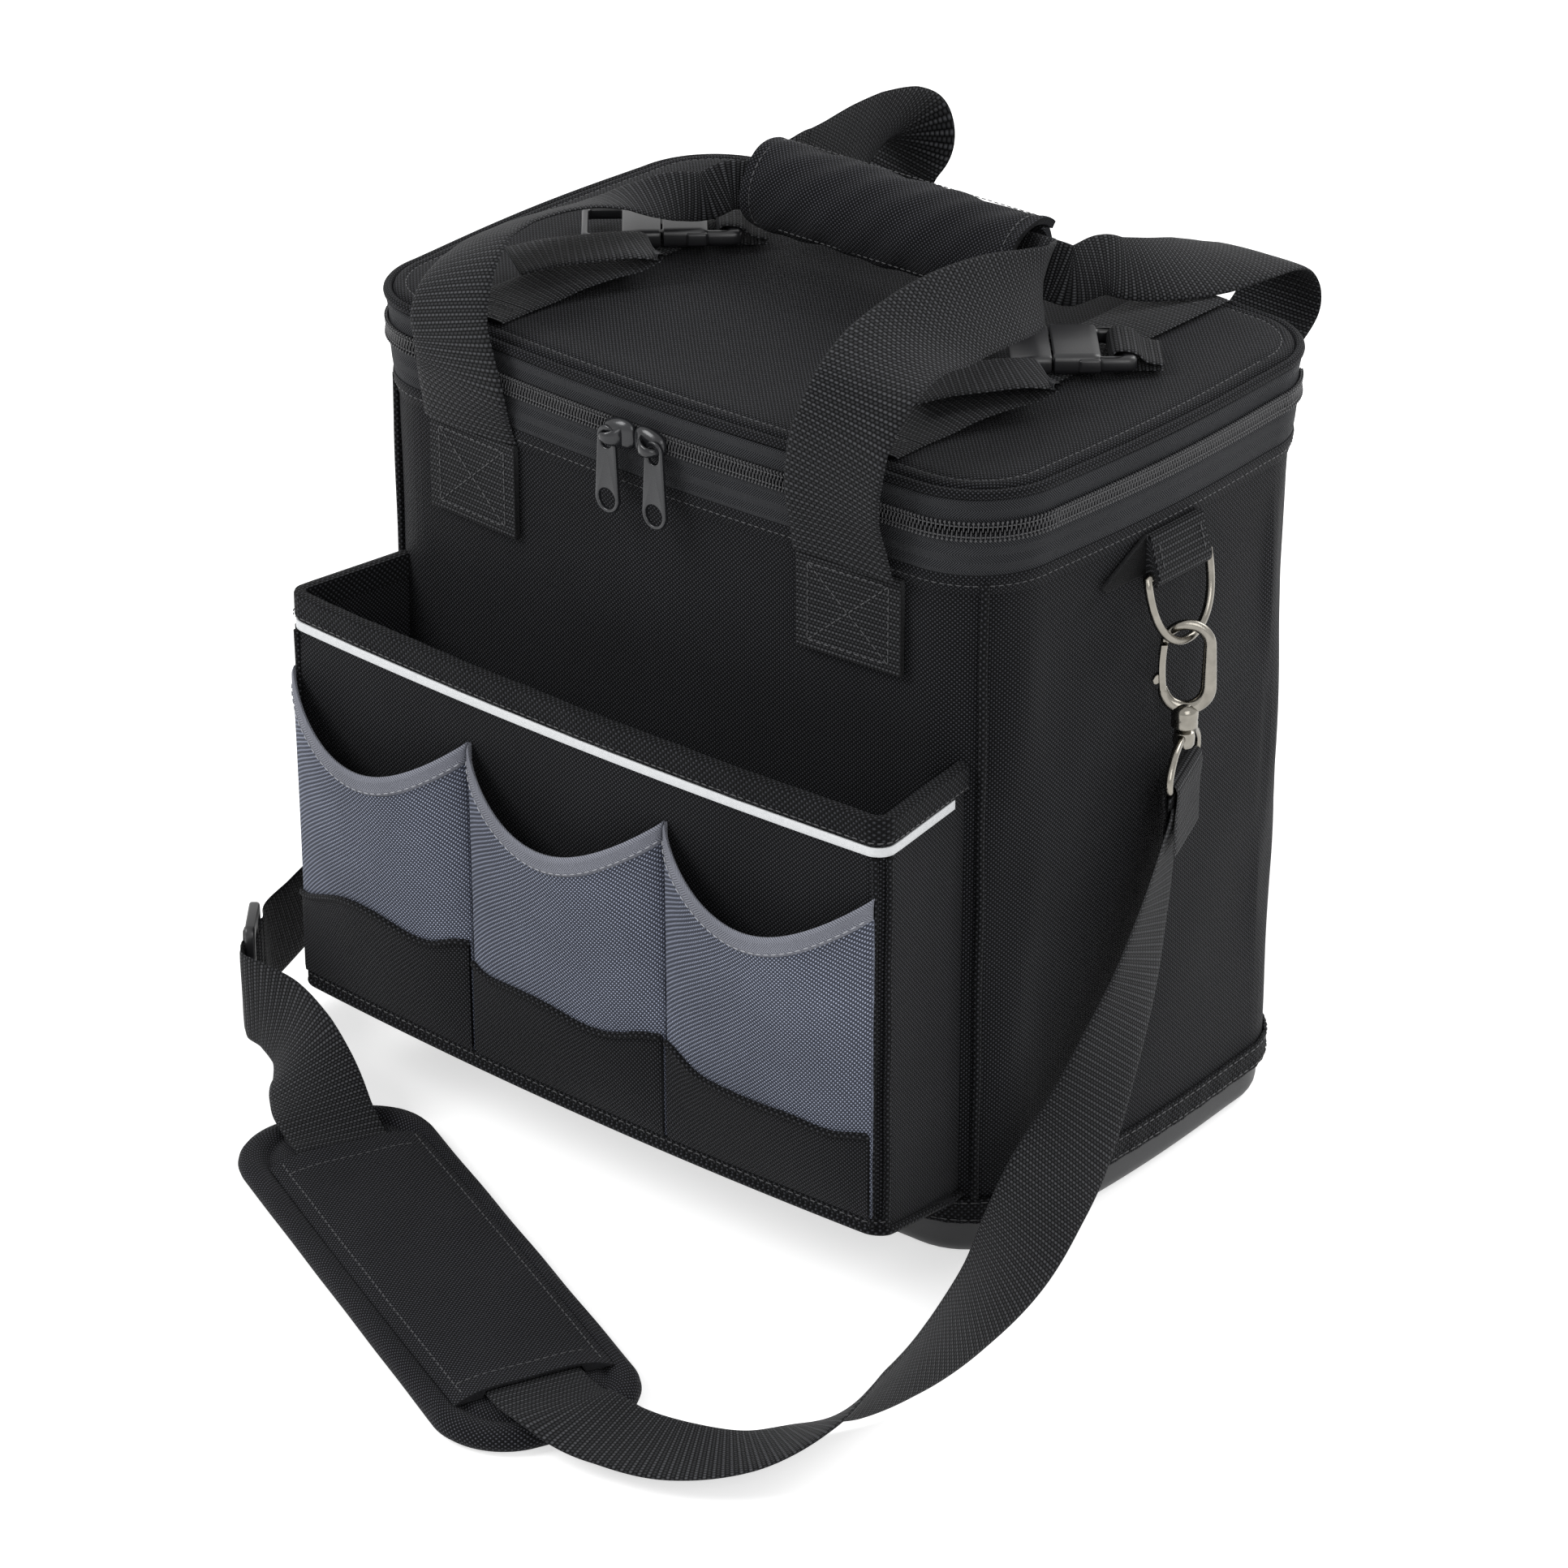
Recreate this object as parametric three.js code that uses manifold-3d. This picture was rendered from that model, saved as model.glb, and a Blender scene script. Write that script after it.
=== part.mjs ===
// Zippered tool bag with a moulded tray, a zipped lid, a front pocket with three patch pockets,
// two carrying handles that meet in one padded grip, and a shoulder strap on two swivel hooks.
// Millimetres. +X is the wearer's right seen from the front, +Y is the back, +Z is up.
// The front faces -Y and the tray stands on Z = 0.
import * as THREE from 'three';
import Module from 'manifold-3d';

const wasm = await Module();
wasm.setup();

const bag = new THREE.Group();
bag.name = 'zippered_tool_bag';

// Body
const BODY_WIDTH = 325;
const BODY_DEPTH = 210;
const CORNER_RADIUS = 34;
const FRONT_BULGE = 6;
const SIDE_BULGE = 3;
const WALL = 4.2;
const FIT = 0.3;

// Heights
const TRAY_HEIGHT = 17;
const TRAY_INSET = 2;
const TRAY_WALL = 2.2;
const TRAY_FLOOR = 3;
const TRAY_EDGE = 8;
const BOARD_THICKNESS = 3;
const SEAM_TAPE_TOP = 29;
const PANEL_TOP = 308;
const LINING_TOP = 306;
const ZIP_TAPE_FOOT = 298;
const ZIP_LINE = 319;
const COIL_HEIGHT = 4;
const COIL_GAP = 1.2;
const BAND_TOP = 331.5;
const LID_TOP = 337.6;

// Front pocket
const POCKET_DEPTH = 53;
const POCKET_HALF_BACK = 148;
const POCKET_HALF_FRONT = 155.5;
const POCKET_CORNER = 7;
const POCKET_BULGE = 5;
const POCKET_WALL = 3;
const POCKET_FOOT = 30.5;
const POCKET_FLOOR_RISE = 11;
const POCKET_TOP = 220;
const POCKET_FLOOR = 3.5;
const BINDING_HEIGHT = 10;
const STRIP_HEIGHT = 4;

// Patch pockets
const PATCH_DIVIDER = 52;
const PATCH_END = 153.5;
const PATCH_FOOT = 49;
const PATCH_SIDE_TOP = 188;
const PATCH_SCOOP = 24;
const PATCH_BULGE = 17;
const PATCH_CLOTH = 1.2;
const PATCH_BASE_SIDE = 78;
const PATCH_BASE_RISE = 22;

// Webbing
const HANDLE_X = 98;
const HANDLE_WIDTH = 50;
const HANDLE_THICKNESS = 1.6;
const GRIPPED_WIDTH = 25;
const ANCHOR_FOOT = 252;
const ANCHOR_TOP = 292;

// Grip
const GRIP_LENGTH = 138;
const GRIP_X = 3;
const GRIP_RADIUS = 17.5;
const GRIP_Y = 34;
const GRIP_Z = 363.5;
const GRIP_TILT = 27;
const GRIP_SPLIT = 0.5;
const GRIP_SLOT_MID = 5;
const GRIP_SLOT = 2.4;
const GRIP_MOUTH = 22;

// Lid straps and buckles
const LID_STRAP_X = 101;
const LID_STRAP_WIDTH = 30;
const LID_STRAP_THICKNESS = 1.4;
const BUCKLE_WIDTH = 34;
const BUCKLE_Y = 8;
const BUCKLE_HEIGHT = 5.7;
const BUCKLE_TURN = -48;

// Zip sliders
const SLIDER_LEFT_X = -15;
const SLIDER_RIGHT_X = 9.5;
const SLIDER_LENGTH = 15.2;
const SLIDER_REACH = 12;
const PULL_LENGTH = 37;
const PULL_HEAD = 9;
const PULL_WIDTH = 12;
const PULL_RISE = 2.4;

// Side rings, hooks and strap
const RING_Y = 1;
const RING_BAR_Z = 276;
const RING_WIRE = 1.75;
const RING_WIDTH = 42;
const RING_DROP = 34;
const RING_LEAN = 11;
const TAB_WIDTH = 34;
const HOOK_TURN = 40;
const EYE_TURN = 112;
const HOOK_THICKNESS = 5;
const HOOK_INNER = 6.8;
const HOOK_WALL = 4.2;
const HOOK_OPENING = 31;
const EYE_WIDTH = 44;
const STRAP_WIDTH = 40;
const STRAP_THICKNESS = 1.4;

// Pad
const PAD_LENGTH = 260;
const PAD_WIDTH = 84;
const PAD_THICKNESS = 9.5;
const PAD_X = 1;
const PAD_Y = -246;
const PAD_TURN = -23.5;
const SLEEVE_LENGTH = 192;
const SLEEVE_WIDTH = 66;
const SLEEVE_SHIFT = 4;
const ADJUSTER_X = -187;
const ADJUSTER_Y = -158;
const ADJUSTER_Z = 35;
const ADJUSTER_TURN = 40.8;

const rad = (degrees) => degrees * Math.PI / 180;

// Signed volume of a mesh given as points and triangles
function volumeOf(points, triangles) {
  let six = 0;
  for (const [a, b, c] of triangles) {
    const p = points[a];
    const q = points[b];
    const r = points[c];
    six += p[0] * (q[1] * r[2] - q[2] * r[1]);
    six += p[1] * (q[2] * r[0] - q[0] * r[2]);
    six += p[2] * (q[0] * r[1] - q[1] * r[0]);
  }
  return six / 6;
}

// Closed solid from points and triangles, turned outward if it came inside out
function solid(points, triangles) {
  const faces = volumeOf(points, triangles) < 0 ? triangles.map(([a, b, c]) => [a, c, b]) : triangles;
  const mesh = new wasm.Mesh({
    numProp: 3,
    vertProperties: new Float32Array(points.flat()),
    triVerts: new Uint32Array(faces.flat()),
  });
  return new wasm.Manifold(mesh);
}

// Named mesh with its own material, added to the bag
function add(name, body, colour, roughness = 0.85, metalness = 0) {
  const mesh = body.getMesh();
  const step = mesh.numProp;
  const places = new Float32Array(mesh.vertProperties.length / step * 3);
  for (let i = 0; i < places.length / 3; i += 1) {
    places[3 * i] = mesh.vertProperties[step * i];
    places[3 * i + 1] = mesh.vertProperties[step * i + 1];
    places[3 * i + 2] = mesh.vertProperties[step * i + 2];
  }
  const geometry = new THREE.BufferGeometry();
  geometry.setAttribute('position', new THREE.BufferAttribute(places, 3));
  geometry.setIndex(Array.from(mesh.triVerts));
  geometry.computeVertexNormals();
  const material = new THREE.MeshStandardMaterial({ color: colour, roughness, metalness });
  const piece = new THREE.Mesh(geometry, material);
  piece.name = name;
  bag.add(piece);
}

// Solid through a row of equal rings of points; open rows get flat caps
function loft(rings, closed, cap) {
  const count = rings[0].length;
  const points = rings.flat();
  const triangles = [];
  const last = closed ? rings.length : rings.length - 1;
  for (let i = 0; i < last; i += 1) {
    const next = (i + 1) % rings.length;
    for (let j = 0; j < count; j += 1) {
      const k = (j + 1) % count;
      triangles.push([i * count + j, i * count + k, next * count + k]);
      triangles.push([i * count + j, next * count + k, next * count + j]);
    }
  }
  if (!closed) {
    const end = (rings.length - 1) * count;
    for (const [a, b, c] of cap) {
      triangles.push([c, b, a]);
      triangles.push([end + a, end + b, end + c]);
    }
  }
  return solid(points, triangles);
}

// Triangles that fill a flat outline
function fill(outline) {
  const area = outline.reduce((sum, [x, y], i) => {
    const [u, v] = outline[(i + 1) % outline.length];
    return sum + x * v - u * y;
  }, 0);
  if (area > 0) {
    return wasm.triangulate([outline]);
  }
  const last = outline.length - 1;
  const turned = wasm.triangulate([[...outline].reverse()]);
  return turned.map(([a, b, c]) => [last - c, last - b, last - a]);
}

// Plan of the body between two angles about its corners, as points with outward normals
function bodyPlan(from, to, cornerSteps = 6, sideSteps = 8) {
  const plan = [];
  const halfX = BODY_WIDTH / 2 - CORNER_RADIUS;
  const halfY = BODY_DEPTH / 2 - CORNER_RADIUS;
  const first = Math.floor(from / 90);
  const last = Math.ceil(to / 90);
  for (let quarter = first; quarter < last; quarter += 1) {
    const turn = ((quarter % 4) + 4) % 4;
    const cx = turn === 0 || turn === 3 ? halfX : -halfX;
    const cy = turn < 2 ? halfY : -halfY;
    const low = Math.max(from, quarter * 90);
    const high = Math.min(to, quarter * 90 + 90);
    const steps = Math.max(1, Math.round(cornerSteps * (high - low) / 90));
    for (let i = 0; i <= steps; i += 1) {
      const a = rad(low + (high - low) * i / steps);
      const n = [Math.cos(a), Math.sin(a)];
      plan.push({ x: cx + CORNER_RADIUS * n[0], y: cy + CORNER_RADIUS * n[1], n });
    }
    if (quarter + 1 < last) {
      plan.push(...sidePlan(turn, sideSteps));
    }
  }
  if (to - from >= 360) {
    plan.push(...sidePlan((((last - 1) % 4) + 4) % 4, sideSteps));
    return plan.filter((spot, i) => i === 0 || Math.hypot(spot.x - plan[0].x, spot.y - plan[0].y) > 0.01);
  }
  return plan;
}

// Bulged straight side that follows the corner of the given quarter, without its ends
function sidePlan(quarter, steps) {
  const spots = [];
  const normals = [[0, 1], [-1, 0], [0, -1], [1, 0]];
  const n = normals[quarter];
  const along = [-n[1], n[0]];
  const long = quarter % 2 === 0 ? BODY_WIDTH / 2 : BODY_DEPTH / 2;
  const away = quarter % 2 === 0 ? BODY_DEPTH / 2 : BODY_WIDTH / 2;
  const bulge = quarter % 2 === 0 ? FRONT_BULGE : SIDE_BULGE;
  for (let i = 1; i < steps; i += 1) {
    const s = 2 * i / steps - 1;
    const out = away + bulge * (1 - s * s);
    const run = (long - CORNER_RADIUS) * s;
    spots.push({ x: n[0] * out + along[0] * run, y: n[1] * out + along[1] * run, n });
  }
  return spots;
}

// Y of the front face at a given X inside its straight part, taken positive
function faceDepth(x) {
  const s = x / (BODY_WIDTH / 2 - CORNER_RADIUS);
  return BODY_DEPTH / 2 + FRONT_BULGE * Math.max(0, 1 - s * s);
}

// Short stretch of the front (side -1) or back (side 1) face
function facePlan(side, x0, x1, steps) {
  const spots = [];
  for (let i = 0; i <= steps; i += 1) {
    const x = x0 + (x1 - x0) * i / steps;
    spots.push({ x, y: side * faceDepth(x), n: [0, side] });
  }
  return spots;
}

// Profile of [offset, height] pairs carried along a plan
function carry(plan, profile, closed = false) {
  const rings = plan.map(({ x, y, n }) => profile.map(([o, z]) => [x + n[0] * o, y + n[1] * o, z]));
  return loft(rings, closed, fill(profile));
}

// Level rings of the whole body plan stacked into a solid with flat ends
function stack(levels, cornerSteps = 6, sideSteps = 6) {
  const plan = bodyPlan(0, 360, cornerSteps, sideSteps);
  const rings = levels.map(([o, z]) => plan.map(({ x, y, n }) => [x + n[0] * o, y + n[1] * o, z]));
  return loft(rings, false, fill(rings[0].map(([x, y]) => [x, y])));
}

// Box from its low and high corners
function box(low, high) {
  const size = [high[0] - low[0], high[1] - low[1], high[2] - low[2]];
  return wasm.Manifold.cube(size).translate(low);
}

// Outline in two axes pushed along the third; axes are given by their letters
function prism(outline, axis, low, high) {
  const place = {
    x: ([a, b], c) => [c, a, b],
    y: ([a, b], c) => [a, c, b],
    z: ([a, b], c) => [a, b, c],
  }[axis];
  const rings = [low, high].map((c) => outline.map((spot) => place(spot, c)));
  return loft(rings, false, fill(outline));
}

// Round wire along points, with a frame that stays square to one steady direction
function wire(points, radius, steady, closed, sides = 8) {
  const up = new THREE.Vector3(...steady);
  const spots = points.map((p) => new THREE.Vector3(...p));
  const rings = spots.map((spot, i) => {
    const count = spots.length;
    const before = spots[closed ? (i + count - 1) % count : Math.max(0, i - 1)];
    const after = spots[closed ? (i + 1) % count : Math.min(count - 1, i + 1)];
    const tangent = after.clone().sub(before).normalize();
    const a = tangent.clone().cross(up).normalize();
    const b = tangent.clone().cross(a).normalize();
    const ring = [];
    for (let k = 0; k < sides; k += 1) {
      const t = 2 * Math.PI * k / sides;
      const q = spot.clone().addScaledVector(a, radius * Math.cos(t));
      q.addScaledVector(b, radius * Math.sin(t));
      ring.push([q.x, q.y, q.z]);
    }
    return ring;
  });
  const circle = rings[0].map((_, k) => {
    const t = 2 * Math.PI * k / sides;
    return [Math.cos(t), Math.sin(t)];
  });
  return loft(rings, closed, fill(circle));
}

// Webbing through stations of [x, y, z, across x, across y, across z, width]
function ribbon(stations, thickness, steps) {
  const spine = new THREE.CatmullRomCurve3(stations.map((s) => new THREE.Vector3(s[0], s[1], s[2])));
  const across = new THREE.CatmullRomCurve3(stations.map((s) => new THREE.Vector3(s[3], s[4], s[5])));
  const rings = [];
  for (let i = 0; i <= steps; i += 1) {
    const t = i / steps;
    const spot = spine.getPoint(t);
    const tangent = spine.getTangent(t);
    const side = across.getPoint(t);
    side.addScaledVector(tangent, -side.dot(tangent)).normalize();
    const out = tangent.clone().cross(side).normalize();
    const place = t * (stations.length - 1);
    const k = Math.min(stations.length - 2, Math.floor(place));
    const width = stations[k][6] + (stations[k + 1][6] - stations[k][6]) * (place - k);
    const corners = [[-1, -1], [1, -1], [1, 1], [-1, 1]];
    rings.push(corners.map(([u, v]) => {
      const q = spot.clone();
      q.addScaledVector(side, u * width / 2).addScaledVector(out, v * thickness / 2);
      return [q.x, q.y, q.z];
    }));
  }
  return loft(rings, false, [[0, 1, 2], [0, 2, 3]]);
}

// Tray, board, lining and panels
function buildBody() {
  const edge = [0, 22.5, 45, 67.5, 90].map((a) => [
    -TRAY_INSET - TRAY_EDGE * (1 - Math.sin(rad(a))),
    TRAY_EDGE * (1 - Math.cos(rad(a))),
  ]);
  const inner = -TRAY_INSET - TRAY_WALL;
  add('base_tray', stack([
    ...edge,
    [-TRAY_INSET, TRAY_HEIGHT],
    [inner, TRAY_HEIGHT],
    [inner, 10],
    [inner - 6, TRAY_FLOOR],
  ]), 0x2c2d30, 0.55);
  const boardLow = TRAY_FLOOR + FIT;
  const boardTop = boardLow + BOARD_THICKNESS;
  add('base_board', stack([[inner - 7, boardLow], [inner - 7, boardTop]], 4, 4), 0x5b5148, 0.9);
  const cloth = 1;
  const liningFoot = boardTop + FIT;
  add('body_lining', stack([
    [-WALL - FIT - 3.5, liningFoot],
    [-WALL - FIT, liningFoot + 6],
    [-WALL - FIT, LINING_TOP],
    [-WALL - FIT - cloth, LINING_TOP],
    [-WALL - FIT - cloth, liningFoot + 6 + cloth],
    [-WALL - FIT - 3.5 - cloth, liningFoot + cloth],
  ], 4, 6), 0x24262b, 0.9);
  add('base_seam_tape', carry(bodyPlan(0, 360), [
    [FIT, TRAY_HEIGHT + 0.6],
    [FIT + 1.2, TRAY_HEIGHT + 0.6],
    [FIT + 1.2, SEAM_TAPE_TOP],
    [FIT, SEAM_TAPE_TOP],
  ], true), 0x16171a);
  const foot = TRAY_HEIGHT + FIT;
  const wallProfile = [[-WALL, foot], [0, foot], [0, PANEL_TOP], [-WALL, PANEL_TOP]];
  const cut = 0.26;
  const panels = [['right_panel', -45], ['back_panel', 45], ['left_panel', 135], ['front_panel', 225]];
  for (const [name, from] of panels) {
    add(name, carry(bodyPlan(from + cut, from + 90 - cut), wallProfile), 0x1a1c20);
  }
  const pipe = 2;
  for (const [name, sx, sy] of [['front_right_piping', 1, -1], ['front_left_piping', -1, -1]]) {
    const reach = (CORNER_RADIUS + pipe + FIT) * Math.SQRT1_2;
    const x = sx * (BODY_WIDTH / 2 - CORNER_RADIUS + reach);
    const y = sy * (BODY_DEPTH / 2 - CORNER_RADIUS + reach);
    const low = SEAM_TAPE_TOP + FIT;
    const high = ZIP_TAPE_FOOT - FIT;
    const rod = wasm.Manifold.cylinder(high - low, pipe, pipe, 10).translate([x, y, low]);
    add(name, rod, 0x111215);
  }
}

// Zip halves, hinge tape, band, lid panel and welt
function buildLid() {
  const lowTop = ZIP_LINE - COIL_GAP / 2;
  const highFoot = ZIP_LINE + COIL_GAP / 2;
  const zipFrom = 136;
  const zipTo = 404;
  add('zip_lower_half', carry(bodyPlan(zipFrom, zipTo), [
    [FIT, ZIP_TAPE_FOOT],
    [FIT + 1.2, ZIP_TAPE_FOOT],
    [3.8, lowTop - COIL_HEIGHT - 0.4],
    [5, lowTop - COIL_HEIGHT + 0.4],
    [5, lowTop],
    [1.6, lowTop],
    [1.6, lowTop - COIL_HEIGHT],
    [2.5, lowTop - COIL_HEIGHT - 1],
  ]), 0x17181b, 0.6);
  add('zip_upper_half', carry(bodyPlan(zipFrom, zipTo), [
    [1.6, highFoot],
    [5, highFoot],
    [5, highFoot + COIL_HEIGHT - 0.4],
    [4.2, highFoot + COIL_HEIGHT + 0.4],
    [4.2, BAND_TOP - 1],
    [3, BAND_TOP - 1],
    [3, highFoot + COIL_HEIGHT + 0.4],
    [1.6, highFoot + COIL_HEIGHT - 0.4],
  ]), 0x17181b, 0.6);
  add('lid_band', carry(bodyPlan(0, 360), [
    [-1.3, highFoot],
    [1.2, highFoot],
    [1.2, highFoot + COIL_HEIGHT + 0.8],
    [2.6, highFoot + COIL_HEIGHT + 1.2],
    [2.6, BAND_TOP],
    [-1.3, BAND_TOP],
  ], true), 0x1a1c20);
  add('lid_panel', stack([
    [1, BAND_TOP + 0.4],
    [1, BAND_TOP + 3.5],
    [-3, BAND_TOP + 4.9],
    [-30, LID_TOP],
  ], 6, 8), 0x1a1c20);
  const welt = 2;
  const circle = [];
  for (let k = 0; k < 8; k += 1) {
    const t = rad(45 * k + 22.5);
    circle.push([1 + FIT + welt + welt * Math.cos(t), BAND_TOP + 2.2 + welt * Math.sin(t)]);
  }
  add('lid_welt', carry(bodyPlan(0, 360), circle, true), 0x111215);
  add('lid_hinge_tape', carry(bodyPlan(46, 134), [
    [FIT + 0.1, ZIP_TAPE_FOOT - 3],
    [FIT + 1.3, ZIP_TAPE_FOOT - 3],
    [FIT + 1.3, ZIP_LINE - 1.5],
    [FIT + 0.1, ZIP_LINE - 1.5],
  ]), 0x131417);
}

// Plan of the pocket wall's outer face from the right body joint to the left one, moved out
function pocketPlan(out, back = 0) {
  const front = -(BODY_DEPTH / 2 + POCKET_DEPTH);
  const start = -(BODY_DEPTH / 2 - 5.4) + back;
  const right = [{ x: POCKET_HALF_BACK + out, y: start }];
  for (let i = 0; i <= 4; i += 1) {
    const a = rad(-22.5 * i);
    const x = POCKET_HALF_FRONT - POCKET_CORNER + (POCKET_CORNER + out) * Math.cos(a);
    const y = front + POCKET_CORNER + (POCKET_CORNER + out) * Math.sin(a);
    right.push({ x, y });
  }
  const straight = POCKET_HALF_FRONT - POCKET_CORNER;
  const middle = [];
  for (let i = 1; i < 12; i += 1) {
    const x = straight - 2 * straight * i / 12;
    middle.push({ x, y: pocketFace(x) - out });
  }
  const left = right.map(({ x, y }) => ({ x: -x, y })).reverse();
  return [...right, ...middle, ...left];
}

// Y of the pocket wall's outer face at X
function pocketFace(x) {
  const s = Math.min(1, Math.abs(x) / (POCKET_HALF_FRONT - POCKET_CORNER));
  return -(BODY_DEPTH / 2 + POCKET_DEPTH) - POCKET_BULGE * (1 - s * s);
}

// How much the pocket's foot rises from the body to the front
function pocketRise(y) {
  return POCKET_FLOOR_RISE * Math.max(0, -y - BODY_DEPTH / 2) / POCKET_DEPTH;
}

// Band between two outward moves of the pocket wall and two heights
function pocketBand(inside, outside, low, high) {
  const outer = pocketPlan(outside).map(({ x, y }) => [x, y]);
  const inner = pocketPlan(inside).map(({ x, y }) => [x, y]).reverse();
  return prism([...outer, ...inner], 'z', low, high);
}

// Front pocket with binding, reflective strip and bottom tape
function buildFrontPocket() {
  const outline = pocketPlan(0).map(({ x, y }) => [x, y]);
  const hollow = pocketPlan(-POCKET_WALL, 40).map(({ x, y }) => [x, y]);
  const lowest = POCKET_FOOT + POCKET_FLOOR;
  const outer = prism(outline, 'z', POCKET_FOOT, POCKET_TOP);
  const inner = prism(hollow, 'z', lowest, POCKET_TOP + 20);
  const keepOff = carry(bodyPlan(200, 340, 12, 16), [[-60, 0], [0.4, 0], [0.4, 400], [-60, 400]]);
  const pipeRoom = [-1, 1].map((side) => {
    const reach = (CORNER_RADIUS + 2.3) * Math.SQRT1_2;
    const x = side * (BODY_WIDTH / 2 - CORNER_RADIUS + reach);
    const y = -(BODY_DEPTH / 2 - CORNER_RADIUS + reach);
    return wasm.Manifold.cylinder(400, 2.5, 2.5, 12).translate([x, y, 0]);
  });
  let wall = outer.subtract(inner).subtract(keepOff).subtract(pipeRoom[0]).subtract(pipeRoom[1]);
  wall = wall.warp((spot) => {
    if (spot[2] < lowest + 1) {
      spot[2] += pocketRise(spot[1]);
    }
  });
  const bindingFoot = POCKET_TOP - BINDING_HEIGHT;
  const trimmed = (body) => body.subtract(keepOff).subtract(pipeRoom[0]).subtract(pipeRoom[1]);
  const side = pocketBand(FIT, 1.5, bindingFoot, POCKET_TOP + 1.5);
  const cap = pocketBand(-POCKET_WALL, FIT + 0.6, POCKET_TOP + FIT, POCKET_TOP + 1.5);
  add('front_pocket_binding', trimmed(side.add(cap)), 0x0f1013);
  const stripTop = bindingFoot - 0.4;
  add('reflective_strip', trimmed(pocketBand(FIT, 1, stripTop - STRIP_HEIGHT, stripTop)), 0xf2f3f4, 0.4);
  const front = BODY_DEPTH / 2 + POCKET_DEPTH - POCKET_CORNER;
  const foot = POCKET_FOOT + POCKET_FLOOR_RISE + 0.2;
  const tape = pocketBand(-1, 1.3, foot, PATCH_FOOT - 1.2);
  const ahead = box([-200, -260, 0], [200, -front, 400]);
  add('front_pocket_wall', wall.add(tape.intersect(ahead)), 0x191b1f);
}

// How far a patch pocket stands off the pocket wall: share across u, share up v
function patchStand(u, v) {
  return PATCH_BULGE * Math.pow(Math.sin(Math.PI * u), 0.7) * Math.pow(v, 0.8);
}

// Outer Y of patch cloth
function patchFace(x, u, v, lift) {
  return pocketFace(x) - 0.4 - PATCH_CLOTH - patchStand(u, v) - lift;
}

// Cloth sheet between two heights given as functions of the share across
function patchSheet(x0, x1, low, high, lift, thickness, columns = 14, rows = 8) {
  const outer = [];
  const inner = [];
  for (let i = 0; i <= columns; i += 1) {
    for (let j = 0; j <= rows; j += 1) {
      const u = i / columns;
      const x = x0 + (x1 - x0) * u;
      const z = low(u) + (high(u) - low(u)) * j / rows;
      const v = Math.max(0, (z - PATCH_FOOT) / (PATCH_SIDE_TOP - PATCH_SCOOP - PATCH_FOOT));
      const y = patchFace(x, u, Math.min(1.1, v), lift);
      outer.push([x, y, z]);
      inner.push([x, y + thickness, z]);
    }
  }
  return sheet(outer, inner, columns, rows);
}

// Closed solid between two equal grids of points
function sheet(front, back, columns, rows) {
  const points = [...front, ...back];
  const shift = front.length;
  const at = (i, j) => i * (rows + 1) + j;
  const triangles = [];
  for (let i = 0; i < columns; i += 1) {
    for (let j = 0; j < rows; j += 1) {
      const a = at(i, j);
      const b = at(i + 1, j);
      const c = at(i + 1, j + 1);
      const d = at(i, j + 1);
      triangles.push([a, b, c], [a, c, d]);
      triangles.push([a + shift, c + shift, b + shift], [a + shift, d + shift, c + shift]);
    }
  }
  const rim = [];
  for (let i = 0; i < columns; i += 1) {
    rim.push(at(i, 0));
  }
  for (let j = 0; j < rows; j += 1) {
    rim.push(at(columns, j));
  }
  for (let i = columns; i > 0; i -= 1) {
    rim.push(at(i, rows));
  }
  for (let j = rows; j > 0; j -= 1) {
    rim.push(at(0, j));
  }
  rim.forEach((a, k) => {
    const b = rim[(k + 1) % rim.length];
    triangles.push([a, b + shift, b], [a, a + shift, b + shift]);
  });
  return solid(points, triangles);
}

// Three scooped patch pockets, each with a black lower panel
function buildPatchPockets() {
  const spans = [
    ['left', -PATCH_END, -PATCH_DIVIDER - 0.4],
    ['middle', -PATCH_DIVIDER + 0.4, PATCH_DIVIDER - 0.4],
    ['right', PATCH_DIVIDER + 0.4, PATCH_END],
  ];
  for (const [place, x0, x1] of spans) {
    const foot = () => PATCH_FOOT;
    const rim = (u) => PATCH_SIDE_TOP - PATCH_SCOOP * Math.pow(Math.sin(Math.PI * u), 0.9);
    add(`patch_pocket_${place}`, patchSheet(x0, x1, foot, rim, 0, PATCH_CLOTH), 0x5b6072);
    const wave = (u) => PATCH_BASE_SIDE + PATCH_BASE_RISE * Math.pow(1 - u, 1.5);
    const base = patchSheet(x0 + 0.6, x1 - 0.6, foot, wave, FIT + 1.3, 0.9, 14, 4);
    add(`patch_pocket_base_${place}`, base, 0x16181c);
  }
}

// Grip frame: direction out of the front half and direction along the split
const gripOut = [0, -Math.cos(rad(GRIP_TILT)), Math.sin(rad(GRIP_TILT))];
const gripUp = [0, Math.sin(rad(GRIP_TILT)), Math.cos(rad(GRIP_TILT))];

// Point in the grip at a distance out and up from its axis
function gripSpot(x, out, up) {
  return [x, GRIP_Y + gripOut[1] * out + gripUp[1] * up, GRIP_Z + gripOut[2] * out + gripUp[2] * up];
}

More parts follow.
